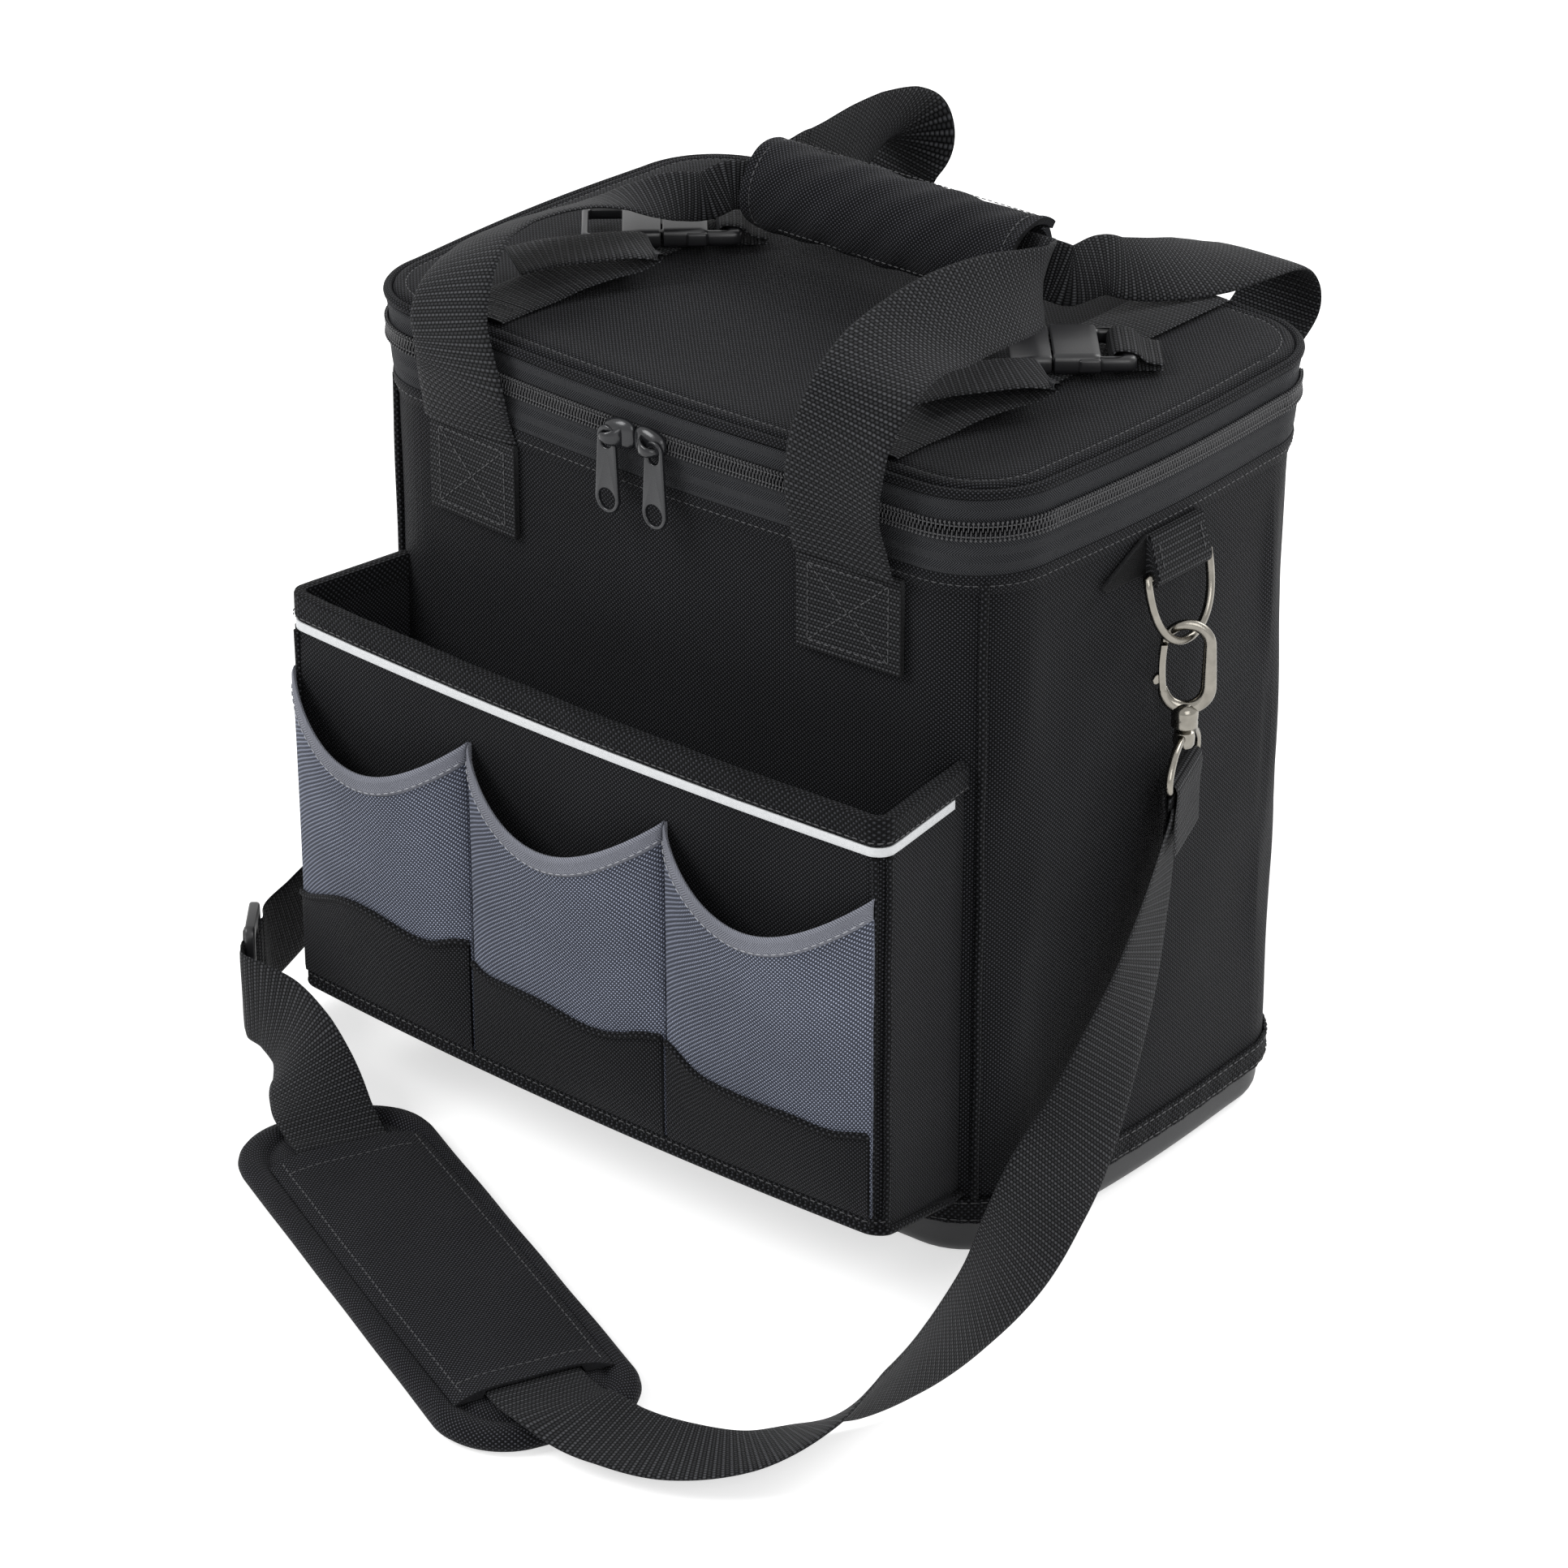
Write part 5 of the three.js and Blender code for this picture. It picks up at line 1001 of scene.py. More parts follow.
for place, x, toward in (("left", SLIDER_LEFT_X, 1), ("right", SLIDER_RIGHT_X, -1)):
    t = np.linspace(0, 2 * np.pi, 40, endpoint=False) + 0.01
    s = np.cos(t)
    reach = 6.1 + 1.0 * s
    shield_line = np.column_stack([toward * 7.8 * s + toward * 4.4,
        np.sign(np.sin(t)) * reach * np.abs(np.sin(t)) ** 0.62])
    rings = np.array(shrinking_dome(shield_line, [
        (0.9, -5.5, 0), (1.0, -5.9, 0), (1.0, -6.8, 0), (0.95, -7.6, 0.2 * toward),
        (0.84, -8.4, 0.4 * toward),
        (0.6, -9.2, 1.2 * toward), (0.34, -9.6, 2.4 * toward), (0.1, -9.7, 3.4 * toward)]))
    shield = loft(f"slider_shield_{place}", rings + [x, FACE_Y, SLIDER_Z], lacquer, smooth=60)
    settle(shield, "slider_" + place, "black_metal", f"zip_slider_{place}")
    # Bridge: an oval bar from the wide end out over the ring and down through its window.
    arc = np.array([[7.2, -6.6], [7.0, -8.8], [6.2, -11.0], [4.2, -12.8], [1.4, -13.4], [-0.8, -12.6],
        [-1.9, -10.6], [-2.1, -8.2], [-2.1, -6.8]])
    half = np.array([4.4, 4.2, 3.7, 2.9, 2.2, 1.75, 1.5, 1.5, 1.5])
    fine = np.linspace(0, 8, 30)
    px, py, tall = (np.interp(fine, range(9), column) for column in (arc[:, 0], arc[:, 1], half))
    px, py, tall = (np.convolve(np.pad(c, 2, "edge"), np.ones(5) / 5, "valid") for c in (px, py, tall))
    path = np.column_stack([x + toward * px, FACE_Y + py, np.full(30, SLIDER_Z - 1.5)])
    path[:, 2] += np.interp(fine, [0, 8], [1.2, 0])
    along = np.gradient(path, axis=0)
    along /= np.linalg.norm(along, axis=1)[:, None]
    up = np.array([0, 0, 1.0])
    side = np.cross(along, up)
    a = np.linspace(0, 2 * np.pi, 16, endpoint=False)[None, :, None]
    ring = path[:, None] + 0.95 * np.cos(a) * side[:, None] + tall[:, None, None] * np.sin(a) * up
    bridge = loft(f"slider_bridge_{place}", ring, lacquer, smooth=60)
    settle(bridge, "slider_" + place, "black_metal")
    # Pull: a tapered plate with a round-cornered window at its top and a wide ring at its foot.
    top, foot = PULL_TOP - 4.5, PULL_TOP - 37 + 6.1
    a = np.linspace(0, np.pi, 17)
    head = np.column_stack([4.5 * np.cos(a), top + 4.5 * np.sin(a)])
    tail = np.column_stack([-6.1 * np.cos(a), foot - 6.1 * np.sin(a)])
    a = np.linspace(0, 2 * np.pi, 28, endpoint=False)
    hole = np.column_stack([4.3 * np.cos(a), foot - 0.1 + 4.3 * np.sin(a)])
    window = bar_outline(5.7, 6.9, 2.6, centre=(0, PULL_TOP - 2.6 - 3.45))
    pull = flat_plate(f"pull_plate_{place}", [np.concatenate([head, tail]), hole, window], 2.0, 0.65,
                      [[1, 0, 0], [0, 0, 1], [0, -1, 0]], (x, FACE_Y - 9.3, 0), lacquer)
    settle(pull, "pull_" + place, "black_metal", f"zip_pull_{place}")

# Lid.
# A padded cloth lid: a band under the zip tape, a soft panel with a rolled, stitched edge and
# a piping cord below it. Black polyester over foam.
band = round_body("lid_band_cloth", even_turns(0, 8, 3.0), slab(-1.3, 1.1, 319.8, 331.3, step=3),
    body_cloth, closed=True)
settle(band, "lid", "body_fabric", "lid_band")
welt_turns = even_turns(0, 8, 2.0)[:-1]
spot, normal = body_plan(welt_turns)
sway = 0.15 * np.sin(np.arange(len(welt_turns)) * 0.07)
welt_path = np.column_stack([spot + normal * 3.2, 333.8 + sway])
welt = tube("lid_welt_cord", welt_path, 1.95, body_cloth, closed=True)
settle(welt, "lid", "body_fabric", "lid_welt")

# Panel: level rings from the seam up over a soft edge, a stitched groove, and a middle with
# slow dents; the cloth's grain runs straight across it.
ring_turns = even_turns(0, 8, 3.0)[:-1]
spot, normal = body_plan(ring_turns)
edge_levels = [(0.2, 331.9), (0.9, 332.3), (1.25, 333.2), (1.2, 334.3), (0.8, 335.3), (0, 336.1),
    (-1.2, 336.7), (-2.6, 336.85),
               (-3.5, 336.4), (-4.1, 336.1), (-4.8, 336.35), (-6.2, 336.95), (-9, 337.3), (-14, 337.4)]
rings = [np.column_stack([spot + normal * out, np.full(len(spot), height)]) for out, height in edge_levels]
rim = rings[-1][:, :2]
for share in np.concatenate([np.linspace(0.95, 0.1, 18), [0.03]]):
    flat = rim * share
    dent = np.sin(flat[:, 0] * 0.043 + 1.0) * np.cos(flat[:, 1] * 0.051 - 0.4) + 0.6 * np.sin(flat[:,
        0] * 0.021 - flat[:, 1] * 0.064)
    rings.append(np.column_stack([flat, 337.15 + 0.3 * np.clip(dent, -1.4, 1) - 0.25 * (1 - share)]))
rings = np.array(rings)
fallen = np.concatenate([np.cumsum(np.linalg.norm(np.diff(edge_levels, axis=0), axis=1)[::-1])[::-1], [0]])
skirt = np.concatenate([fallen, np.zeros(len(rings) - len(fallen))])
flat = np.concatenate([rings, rings[:, :1]], 1)[..., :2].copy()
flat[:len(fallen)] = np.concatenate([rim, rim[:1]])[None] + np.concatenate([normal,
    normal[:1]])[None] * skirt[:len(fallen), None, None]
lid_top = loft("lid_panel_cloth", rings, body_cloth, smooth=180, uv=flat + 200)
settle(lid_top, "lid", "body_fabric", "lid_panel")
lid_thread = stitches("lid_edge_stitches", [
    (np.column_stack([spot - normal * 4.1, np.full(len(spot), 336.05)]), [0, 0, 1])], pitch=3.2, length=2.4,
    thick=0.5)
settle(lid_thread, "lid", "body_fabric")

# Lid straps.
# Two black ribbed straps 30 mm wide run over the lid from front to back, sewn down at their
# ends. Each front strap leaves a loose fold of webbing in front of its buckle.
LID_STRAP_X, WEB_LEVEL = 101.0, 338.8
fold_route = np.array([
    [0, -103, 0, 1, 0, 0], [0, -84, 0, 1, 0, 0], [2, -70, 0.8, 0.98, -0.15, 0],
    [6, -56, 3.3, 0.93, -0.3, 0],
    [12, -40, 5.1, 0.86, -0.45, 0], [17, -29, 6.1, 0.82, -0.55, 0], [20.5, -21.5, 9.1, 0.8, -0.6, 0],
    [15, -30, 11.5, 0.8, -0.6, 0], [4, -43, 10.9, 0.82, -0.57, 0], [-6, -54, 9.7, 0.86, -0.5, 0],
    [-14, -66, 7.7, 0.9, -0.44, 0]])
for place, sx in (("left", -1), ("right", 1)):
    mid = sx * LID_STRAP_X
    shifted = fold_route + [mid, 0, WEB_LEVEL, 0, 0, 0]
    loose, _ = webbing("lid_strap_fold_" + place, [[*s, 30] for s in shifted], 1.4, 150)
    settle(loose, "lid", "webbing", "lid_strap_front_" + place)
    front_run = [[mid, y, WEB_LEVEL, 1, 0, 0, 30] for y in (-87, -60, -30, 0, 9)]
    laid, _ = webbing("lid_strap_base_" + place, front_run, 1.4, 50)
    settle(laid, "lid", "webbing")
    rear_run = [[mid, y, WEB_LEVEL, 1, 0, 0, 30] for y in (13, 30, 60, 90, 103)]
    rear, _ = webbing("lid_strap_rear_web_" + place, rear_run, 1.4, 50)
    settle(rear, "lid", "webbing", "lid_strap_rear_" + place)
    x = np.linspace(mid - 12, mid + 12, 20)
    rows = [(np.column_stack([x, np.full(20, y), np.full(20, WEB_LEVEL + 0.75)]), (0, 0, 1)) for y in (-100,
        -90, 91, 100)]
    settle(stitches("lid_strap_stitches_" + place, rows), "lid", "webbing")

# Buckles.
# Glossy black nylon side-release buckles. The prong half has an open ladder, a thick block and
# two arms; the socket half is a hollow shell with a window and a round bar for the webbing.
buckle_along = np.array([0.743145, 0.669131, 0])
buckle_over = np.array([0.669131, -0.743145, 0])
buckle_axes = [buckle_over, buckle_along, [0, 0, 1]]


def block(name, levels, spot, material=gloss_plastic):
    """Skin over round-cornered sections: (along, width, height, corner, middle height) each."""
    rings = []
    for run, wide, high, corner, middle in levels:
        flat = bar_outline(wide, high, corner, steps=6)
        rings.append(flat[:, :1] * buckle_over + np.array([0, 0, 1]) * (flat[:,
            1:] + middle) + buckle_along * run)
    return loft(name, np.array(rings) + spot, material, smooth=40)


for place, sx in (("left", -1), ("right", 1)):
    spot = np.array([sx * LID_STRAP_X, 8.0, 0])
    shell = block("socket_shell_" + place, [
        (16.6, 29.4, 4.8, 1.8, 344.0), (0.4, 30, 5.2, 1.8, 344.0), (0.0, 32.4, 7.2, 2.2, 344.0),
        (0.6, 34, 8.3, 2.6, 344.05),
        (6, 34.2, 8.5, 2.8, 344.05), (15, 33.8, 8.4, 2.8, 344.05), (17.4, 33, 7.6, 2.6, 344.0),
        (18.2, 31.6, 6.4, 2.4, 344.0)], spot)
    settle(shell, "socket_" + place, "buckle_plastic", "buckle_socket_" + place)
    rear = flat_plate("socket_frame_" + place, [
        bar_outline(33, 17, 4, centre=(0, 24)), bar_outline(26.5, 7.2, 1.4, centre=(0, 22.2))], 6.4, 2.2,
        buckle_axes,
        spot + [0, 0, 343.6], gloss_plastic, resolution=3)
    settle(rear, "socket_" + place, "buckle_plastic")
    for side in (-1, 1):
        edge_spot = spot + [0, 0, 344.0]
        edge = flat_plate(f"socket_release_{place}_{'a' if side < 0 else 'b'}", [
            bar_outline(3.4, 8.5, 1.2, centre=(side * 16.6, 14.0))], 5.4, 0.9, buckle_axes, edge_spot,
            gloss_plastic)
        settle(edge, "socket_" + place, "buckle_plastic")
    wrap = [(43, 339.9), (35, 339.9), (25.6, 340.0), (23.0, 341.6), (22.6, 344.4), (24.2, 347.6),
        (28, 348.0), (32.6, 346.6),
            (36, 343.6), (43, 341.9)]
    route = [[*(spot + buckle_along * run + [0, 0, high]), *buckle_over, 25] for run, high in wrap]
    loop, _ = webbing("buckle_wrap_" + place, route, 1.3, 90)
    settle(loop, "socket_" + place, "webbing")
    ladder = flat_plate("prong_ladder_" + place, [
        bar_outline(34, 32.2, 4.5, centre=(0, -16.9)), bar_outline(27, 14.4, 1.8, centre=(0, -23.0))], 5.2,
        1.3, buckle_axes,
        spot + [0, 0, 343.4], gloss_plastic, resolution=3)
    settle(ladder, "lid", "buckle_plastic", "buckle_prong_" + place)
    body = block("prong_body_" + place, [
        (-16.4, 32.4, 5.4, 1.8, 343.5), (-15.4, 33.6, 7.0, 2.4, 343.6), (-9, 34.2, 7.9, 2.7, 343.8),
        (-1.6, 34.2, 7.9, 2.7, 343.8),
        (-0.8, 33.4, 7.2, 2.4, 343.8)], spot)
    settle(body, "lid", "buckle_plastic")
    arms = flat_plate("prong_arms_" + place, [
        bar_outline(4.6, 17, 1.5, centre=(side * 10.4, 7.2)) for side in (-1, 1)] + [bar_outline(7.6, 15, 2,
        centre=(0, 6.2))],
        2.8, 0.7, buckle_axes, spot + [0, 0, 344.0], gloss_plastic)
    settle(arms, "lid", "buckle_plastic")

# Carry handles.
# Two long loops of 50 mm webbing, one from the front and one from the back. Each end is sewn to
# its panel with a boxed cross; the loops rise, lean over the lid, narrow and run into the grip.
GRIP_Y, GRIP_Z = 34.0, 363.5
# Cosine and sine of the grip's lean of 27 degrees.
GRIP_COS, GRIP_SIN = 0.891, 0.454
grip_down = (0, -GRIP_SIN, -GRIP_COS)


def grip_spot(x, out, up):
    """Point in the grip's frame: out towards the front, up along its height."""
    return [x, GRIP_Y - GRIP_COS * out + GRIP_SIN * up, GRIP_Z + GRIP_SIN * out + GRIP_COS * up]


def held(x, out, up, width=24):
    """Station of webbing held in the grip: a point in its frame, facing down, with its width."""
    return [*grip_spot(x, out, up), *grip_down, width]


front_left = [
    [-98, -111.6, 293, 1, 0, 0, 50], [-98, -114.5, 305, 1, 0, 0, 48], [-96.5, -118.5, 319, 1, 0, 0.03, 46],
    [-98, -120, 331, 1, -0.02, 0.06, 45], [-101, -119, 342, 1, -0.06, 0.08, 44],
    [-104, -113, 352, 0.97, -0.13, 0.12, 43],
    [-107, -103, 359.5, 0.92, -0.27, 0.2, 42], [-109.5, -89.5, 364, 0.82, -0.44, 0.27, 39],
    [-109, -73, 366, 0.72, -0.58, 0.32, 34], [-106, -56, 366.5, 0.66, -0.65, 0.34, 30],
    [-102, -40, 366.2, 0.63, -0.69, 0.3, 26], [-96.5, -25, 365.5, 0.6, -0.74, 0.1, 24],
    [-90.5, -11, 364, 0.5, -0.78, -0.3, 22], [-85.5, 1, 362.5, 0.3, -0.65, -0.7, 21],
    [-80.5, 11, 360.8, 0.1, -0.5, -0.86, 20], held(-74.5, 13.5, -6, 20), held(-68, 9, -3.5, 20),
    held(-60, 6.3, -1.5, 21),
    held(-48, 5, 0), held(-24, 5, 0), held(0, 5, 0)]
front_right = [
    [98, -111.6, 293, 1, 0, 0, 50], [98, -114.5, 305, 1, 0, 0.02, 48], [98.5, -119, 320, 1, 0, 0.05, 46],
    [101, -121, 336, 1, 0.03, 0.05, 45], [104.5, -120, 352, 0.99, 0.08, 0.04, 44],
    [106, -110.5, 366, 0.97, 0.2, -0.05, 43],
    [104, -92, 373.5, 0.92, 0.3, -0.2, 42], [102.5, -68.5, 375.5, 0.8, 0.34, -0.45, 41],
    [102, -46, 376.5, 0.68, 0.38, -0.6, 39], [101.5, -23, 375, 0.55, 0.3, -0.75, 36],
    [99.5, -5, 372, 0.4, 0.05, -0.9, 32],
    [95, 7.5, 370, 0.2, -0.25, -0.95, 29], [89, 17, 369.3, 0.05, -0.4, -0.91, 27], held(83, 10, 0),
    held(76, 7.2, 0),
    held(68, 5.5, 0), held(56, 5, 0), held(30, 5, 0), held(0, 5, 0)]
back_left = [
    [-98, 111.6, 293, -1, 0, 0, 50], [-98, 117, 301, -1, 0, 0, 48], [-98, 131, 306, -1, 0, 0, 46],
    [-98, 145, 312.5, -1, 0, 0, 44], [-97.5, 152.5, 323, -1, 0, -0.1, 43],
    [-95.5, 156, 336, -0.88, -0.1, -0.4, 42],
    [-92.5, 152, 347, -0.62, -0.3, -0.7, 42], [-89, 139, 353.5, -0.38, -0.42, -0.82, 41],
    [-86.5, 120, 356, -0.2, -0.45, -0.86, 39], [-83.5, 101, 357.5, -0.1, -0.46, -0.88, 35],
    [-80.5, 83, 358.5, -0.05, -0.46, -0.88, 31], [-78, 70, 359.8, 0, -0.45, -0.88, 28],
    [-76.5, 60, 361, 0, -0.45, -0.88, 26], held(-75, -14.5, 2), held(-70, -9, 1),
    held(-61, -5.8, 0), held(-46, -5, 0), held(-24, -5, 0), held(0, -5, 0)]
back_right = [
    [98, 111.6, 293, 1, 0, 0, 50], [98, 118, 299, 1, 0, 0, 48], [98, 134, 303, 1, 0, 0, 46],
    [98.5, 151, 308, 1, 0, 0, 43],
    [99, 162, 318, 1, 0, 0, 41], [99, 160.5, 331, 1, 0, 0, 41], [98.5, 149, 340, 1, 0, 0, 41],
    [98, 131, 344.5, 0.98, -0.1, -0.1, 41], [96, 111, 347.5, 0.9, -0.3, -0.3, 38],
    [92.5, 92, 350.5, 0.75, -0.45, -0.5, 32],
    [88, 75, 354, 0.5, -0.5, -0.7, 27], [84, 63, 358, 0.25, -0.45, -0.85, 24], held(80, -14.5, 0),
    held(75.5, -9.5, 0),
    held(66, -5.8, 0), held(50, -5, 0), held(24, -5, 0), held(0, -5, 0)]
for name, first, second in (("front", front_left, front_right), ("back", back_left, back_right)):
    route = [*first, *second[:-1][::-1]]
    loop, _ = webbing(name + "_handle_web", route, 1.8, 620, columns=13, curl=0.6)
    settle(loop, name + "_carry_handle", "webbing", name + "_handle")
    for place, sx in (("left", -1), ("right", 1)):
        span = np.array([sx * 98 - 24.6, sx * 98 + 24.6]) / 128.5
        turns = (5.5 + span / 2) if name == "front" else (1.5 - span[::-1] / 2)
        run = np.linspace(*turns, 22)
        end = round_body(f"{name}_end_{place}", run, slab(0.4, 3.0, 252, 292.5, step=2.4, rounding=0.8),
            strap_webbing, swap=True)
        settle(end, "bag", "webbing", f"{name}_handle_end_{place}")
        t = np.linspace(0, 1, 40)
        a, b = turns[0] + 0.022, turns[1] - 0.022
        lines = []
        for x0, z0, x1, z1 in ((a, 256, b, 256), (a, 288.5, b, 288.5), (a, 256, a, 288.5),
                (b, 256, b, 288.5),
                               (a, 256, b, 288.5), (a, 288.5, b, 256)):
            at, n = body_plan(x0 + (x1 - x0) * t)
            lines.append((np.column_stack([at + n * 3.1, z0 + (z1 - z0) * t]), np.column_stack([n, 0 * t])))
        settle(stitches(f"{name}_end_stitches_{place}", lines), "bag", "webbing")

# Grip.
# A padded cloth wrap that holds both loops together: the front flap is folded over the back pad
# and edged with rows of stitches, and the webbing comes out of both open ends.
def wrap_half(name, side, length, low, high, radius, thick):
    """Half tube: outer arc between two angles and back along an inner arc; it swells and dents."""
    x = 3 + np.concatenate([[-0.5, -0.494, -0.485], np.linspace(-0.47, 0.47, 46),
        [0.485, 0.494, 0.5]]) * length
    a = np.radians(np.linspace(low, high, 30))[None, :]
    share = (x[:, None] - 3) / length
    soft = 0.45 * np.sin(x[:, None] * 0.13 + 3 * a) + 0.35 * np.sin(x[:, None] * 0.31 - 5 * a)
    lip = 1.1 * np.clip(np.abs(share) - 0.46, 0, 1) / 0.04
    seam = 0.7 * np.exp(-((np.abs(share) * length - length / 2 + 5) / 1.6) ** 2)
    outer = radius + soft - seam + 0.8 * (np.abs(share) * 2) ** 4 - 0.5 * lip
    inner = radius - thick + 0.3 * soft + 0.5 * lip
    spots = []
    for r, angle in ((outer, a), (inner, a[:, ::-1])):
        out = side * r * np.cos(angle) * 0.96
        up = r * np.sin(angle)
        spots.append(np.stack([x[:, None] + 0 * up, GRIP_Y - GRIP_COS * out + GRIP_SIN * up,
            GRIP_Z + GRIP_SIN * out + GRIP_COS * up], -1))
    return loft(name, np.concatenate(spots, 1), pad_cloth, smooth=70)


flap = wrap_half("grip_flap_cloth", 1, 138, -88, 104, 18.4, 2.6)
settle(flap, "front_carry_handle", "body_fabric", "grip_flap")
under = wrap_half("grip_pad_cloth", -1, 130, -88, 80, 17.4, 3.4)
settle(under, "back_carry_handle", "body_fabric", "grip_pad")


def flap_line(angles, xs, radius=18.7):
    """Stitch line on the flap through (angle, x) pairs."""
    a = np.radians(angles)
    out, up = 0.96 * radius * np.cos(a), radius * np.sin(a)
    flat = np.column_stack([xs, GRIP_Y - GRIP_COS * out + GRIP_SIN * up,
        GRIP_Z + GRIP_SIN * out + GRIP_COS * up])
    lean = np.column_stack([0 * a, -GRIP_COS * np.cos(a) + GRIP_SIN * np.sin(a),
        GRIP_SIN * np.cos(a) + GRIP_COS * np.sin(a)])
    return flat, lean


across = np.linspace(-62, 68, 60)
over = np.linspace(-70, 90, 50)
flap_thread = stitches("grip_stitches", [
    flap_line(np.full(60, 90.0), across), flap_line(np.full(60, -66.0), across),
    flap_line(over, np.full(50, -61.0)),
    flap_line(over, np.full(50, 67.0))], pitch=3.2, length=2.5)
settle(flap_thread, "front_carry_handle", "body_fabric")

# Front pocket.
# A deep cloth pocket sewn to the front: two short sides, rounded corners and a front wall that
# bows a little, with a floor. Black polyester; binding on its rim and cords along its seams.
def pocket_face(x):
    """Front wall's y: 158 mm out at its ends, 5 mm more in its middle, as a parabola."""
    return -158 - 5 * (1 - np.clip(np.abs(x) / 148.5, 0, 1) ** 2)


t = np.linspace(0, 1, 13)[:-1]
a = np.radians(np.linspace(-8, -90, 9))
side_part = np.column_stack([148 + 7.5 * t, -99.6 - 51.4 * t])
corner_part = np.column_stack([148.5 + 7 * np.cos(a), -151 + 7 * np.sin(a)])
x = np.linspace(147, 0, 46)
right_half = np.concatenate([side_part, corner_part, np.column_stack([x, pocket_face(x)])])
pocket_path = np.concatenate([right_half, right_half[-2::-1] * [-1, 1]])
pocket_run = np.gradient(pocket_path, axis=0)
pocket_out = np.stack([-pocket_run[:, 1], pocket_run[:, 0]], -1)
pocket_out /= np.linalg.norm(pocket_out, axis=1)[:, None]
pocket_foot = 30.5 + 11 * np.clip((-pocket_path[:, 1] - 105) / 53, 0, 1)
pocket_count = len(pocket_path)


def round_pocket(name, outline, material, drift=None, follow=False, rows=slice(None), smooth=50):
    """An outline of (out, height) carried round the pocket; follow lifts its foot with the floor."""
    outline = np.asarray(outline, float)
    at, n = pocket_path[rows], pocket_out[rows]
    out = np.broadcast_to(outline[:, 0], (len(at), len(outline)))
    high = np.broadcast_to(outline[:, 1], (len(at), len(outline)))
    if follow:
        foot = pocket_foot[rows][:, None]
        high = foot + (high - 30.5) * (220 - foot) / 189.5
    if drift is not None:
        out = out + drift(at[:, :1], high)
    rings = np.empty((*out.shape, 3))
    rings[..., :2] = at[:, None] + n[:, None] * out[..., None]
    rings[..., 2] = high
    return loft(name, rings, material, smooth=smooth)


def pocket_drift(x, height):
    """Soft outward and inward swells of the pocket's front, calm at the rim and the foot."""
    calm = fade(height, 60, 110) * (1 - fade(height, 190, 208))
    return calm * (0.8 * np.sin(x * 0.043 + 0.4) * np.cos(height * 0.03) + 0.4 * np.sin(x * 0.11))


pocket = round_pocket("front_pocket_cloth", slab(-3, 0, 30.5, 219.6, step=5), body_cloth,
    drift=pocket_drift, follow=True)
settle(pocket, "bag", "body_fabric", "front_pocket_wall")
x = np.linspace(-152, 152, 60)
reach = np.where(np.abs(x) > 148.5, -157 + 3.2 * (np.abs(x) - 148.5), pocket_face(x) + 1)
rings = []
for share, lift in ((0, 0), (0.5, 0), (1, 0), (1, 3.3), (0.5, 3.3), (0, 3.3)):
    y = -107 + (reach + 107) * share
    rings.append(np.column_stack([x, y, 30.7 + 11 * (-y - 105) / 53 + lift]))
floor_cloth = loft("front_pocket_floor", np.stack(rings, 1), body_cloth, smooth=40)
settle(floor_cloth, "bag", "body_fabric")

# Pocket edges.
# Black binding folded over the rim with one row of stitches, a pale reflective strip just below
# it, a cloth tape along the foot and cords in the two corners and along the bottom seam.
rim_wave = lambda x, height: 0.25 * np.sin(x * 0.09) + 0.15 * np.sin(x * 0.31)
rim = round_pocket("pocket_rim_binding", slab(-3.6, 1.7, 209.9, 221.6, step=1.5, rounding=1.4),
    binding_cloth, drift=rim_wave)
settle(rim, "bag", "binding", "front_pocket_binding")
line = np.column_stack([pocket_path + pocket_out * 2.0, np.full(pocket_count, 211.8)])
flat_out = np.column_stack([pocket_out, np.zeros(pocket_count)])
settle(stitches("pocket_rim_stitches", [(line, flat_out)]), "bag", "binding")
pale_tape = hard_material("reflective_tape", (0.66, 0.68, 0.7), (0.86, 0.87, 0.88), 0.42, 0.2, 0.00004,
    metallic=0.0, size=0.002)
strip = round_pocket("pale_strip", slab(0.2, 1.1, 205.4, 209.4, step=1.5, rounding=0.3), pale_tape,
    rows=slice(2, -2))
settle(strip, "bag", "reflective_tape", "reflective_strip")
low_tape = round_pocket("pocket_foot_tape", slab(-0.6, 1.4, 41.6, 48.6, step=1.5, rounding=0.5),
    binding_cloth,
                        rows=slice(13, -13))
settle(low_tape, "bag", "binding")
line = np.column_stack([pocket_path + pocket_out * 1.7, np.full(pocket_count, 46.8)])[13:-13]
settle(stitches("pocket_foot_stitches", [(line, flat_out[13:-13])]), "bag", "binding")
seam = tube("pocket_foot_cord", np.column_stack([pocket_path + pocket_out * 0.9, pocket_foot + 1.2]), 1.7,
    binding_cloth)
settle(seam, "bag", "binding")
for place, first in (("right", 14), ("left", pocket_count - 15)):
    for share, ahead in (("outer", -1), ("inner", 3)):
        row = first + ahead * (1 if place == "right" else -1)
        high = np.linspace(44, 204.6, 70)
        base = pocket_path[row] + pocket_out[row] * 0.9
        path = np.column_stack([np.tile(base, (70, 1)), high])
        path[:, 0] += 0.2 * np.sin(high * 0.11)
        cord = tube(f"pocket_corner_cord_{place}_{share}", path, 1.5, binding_cloth, steady=(1, 0, 0))
        settle(cord, "bag", "binding")

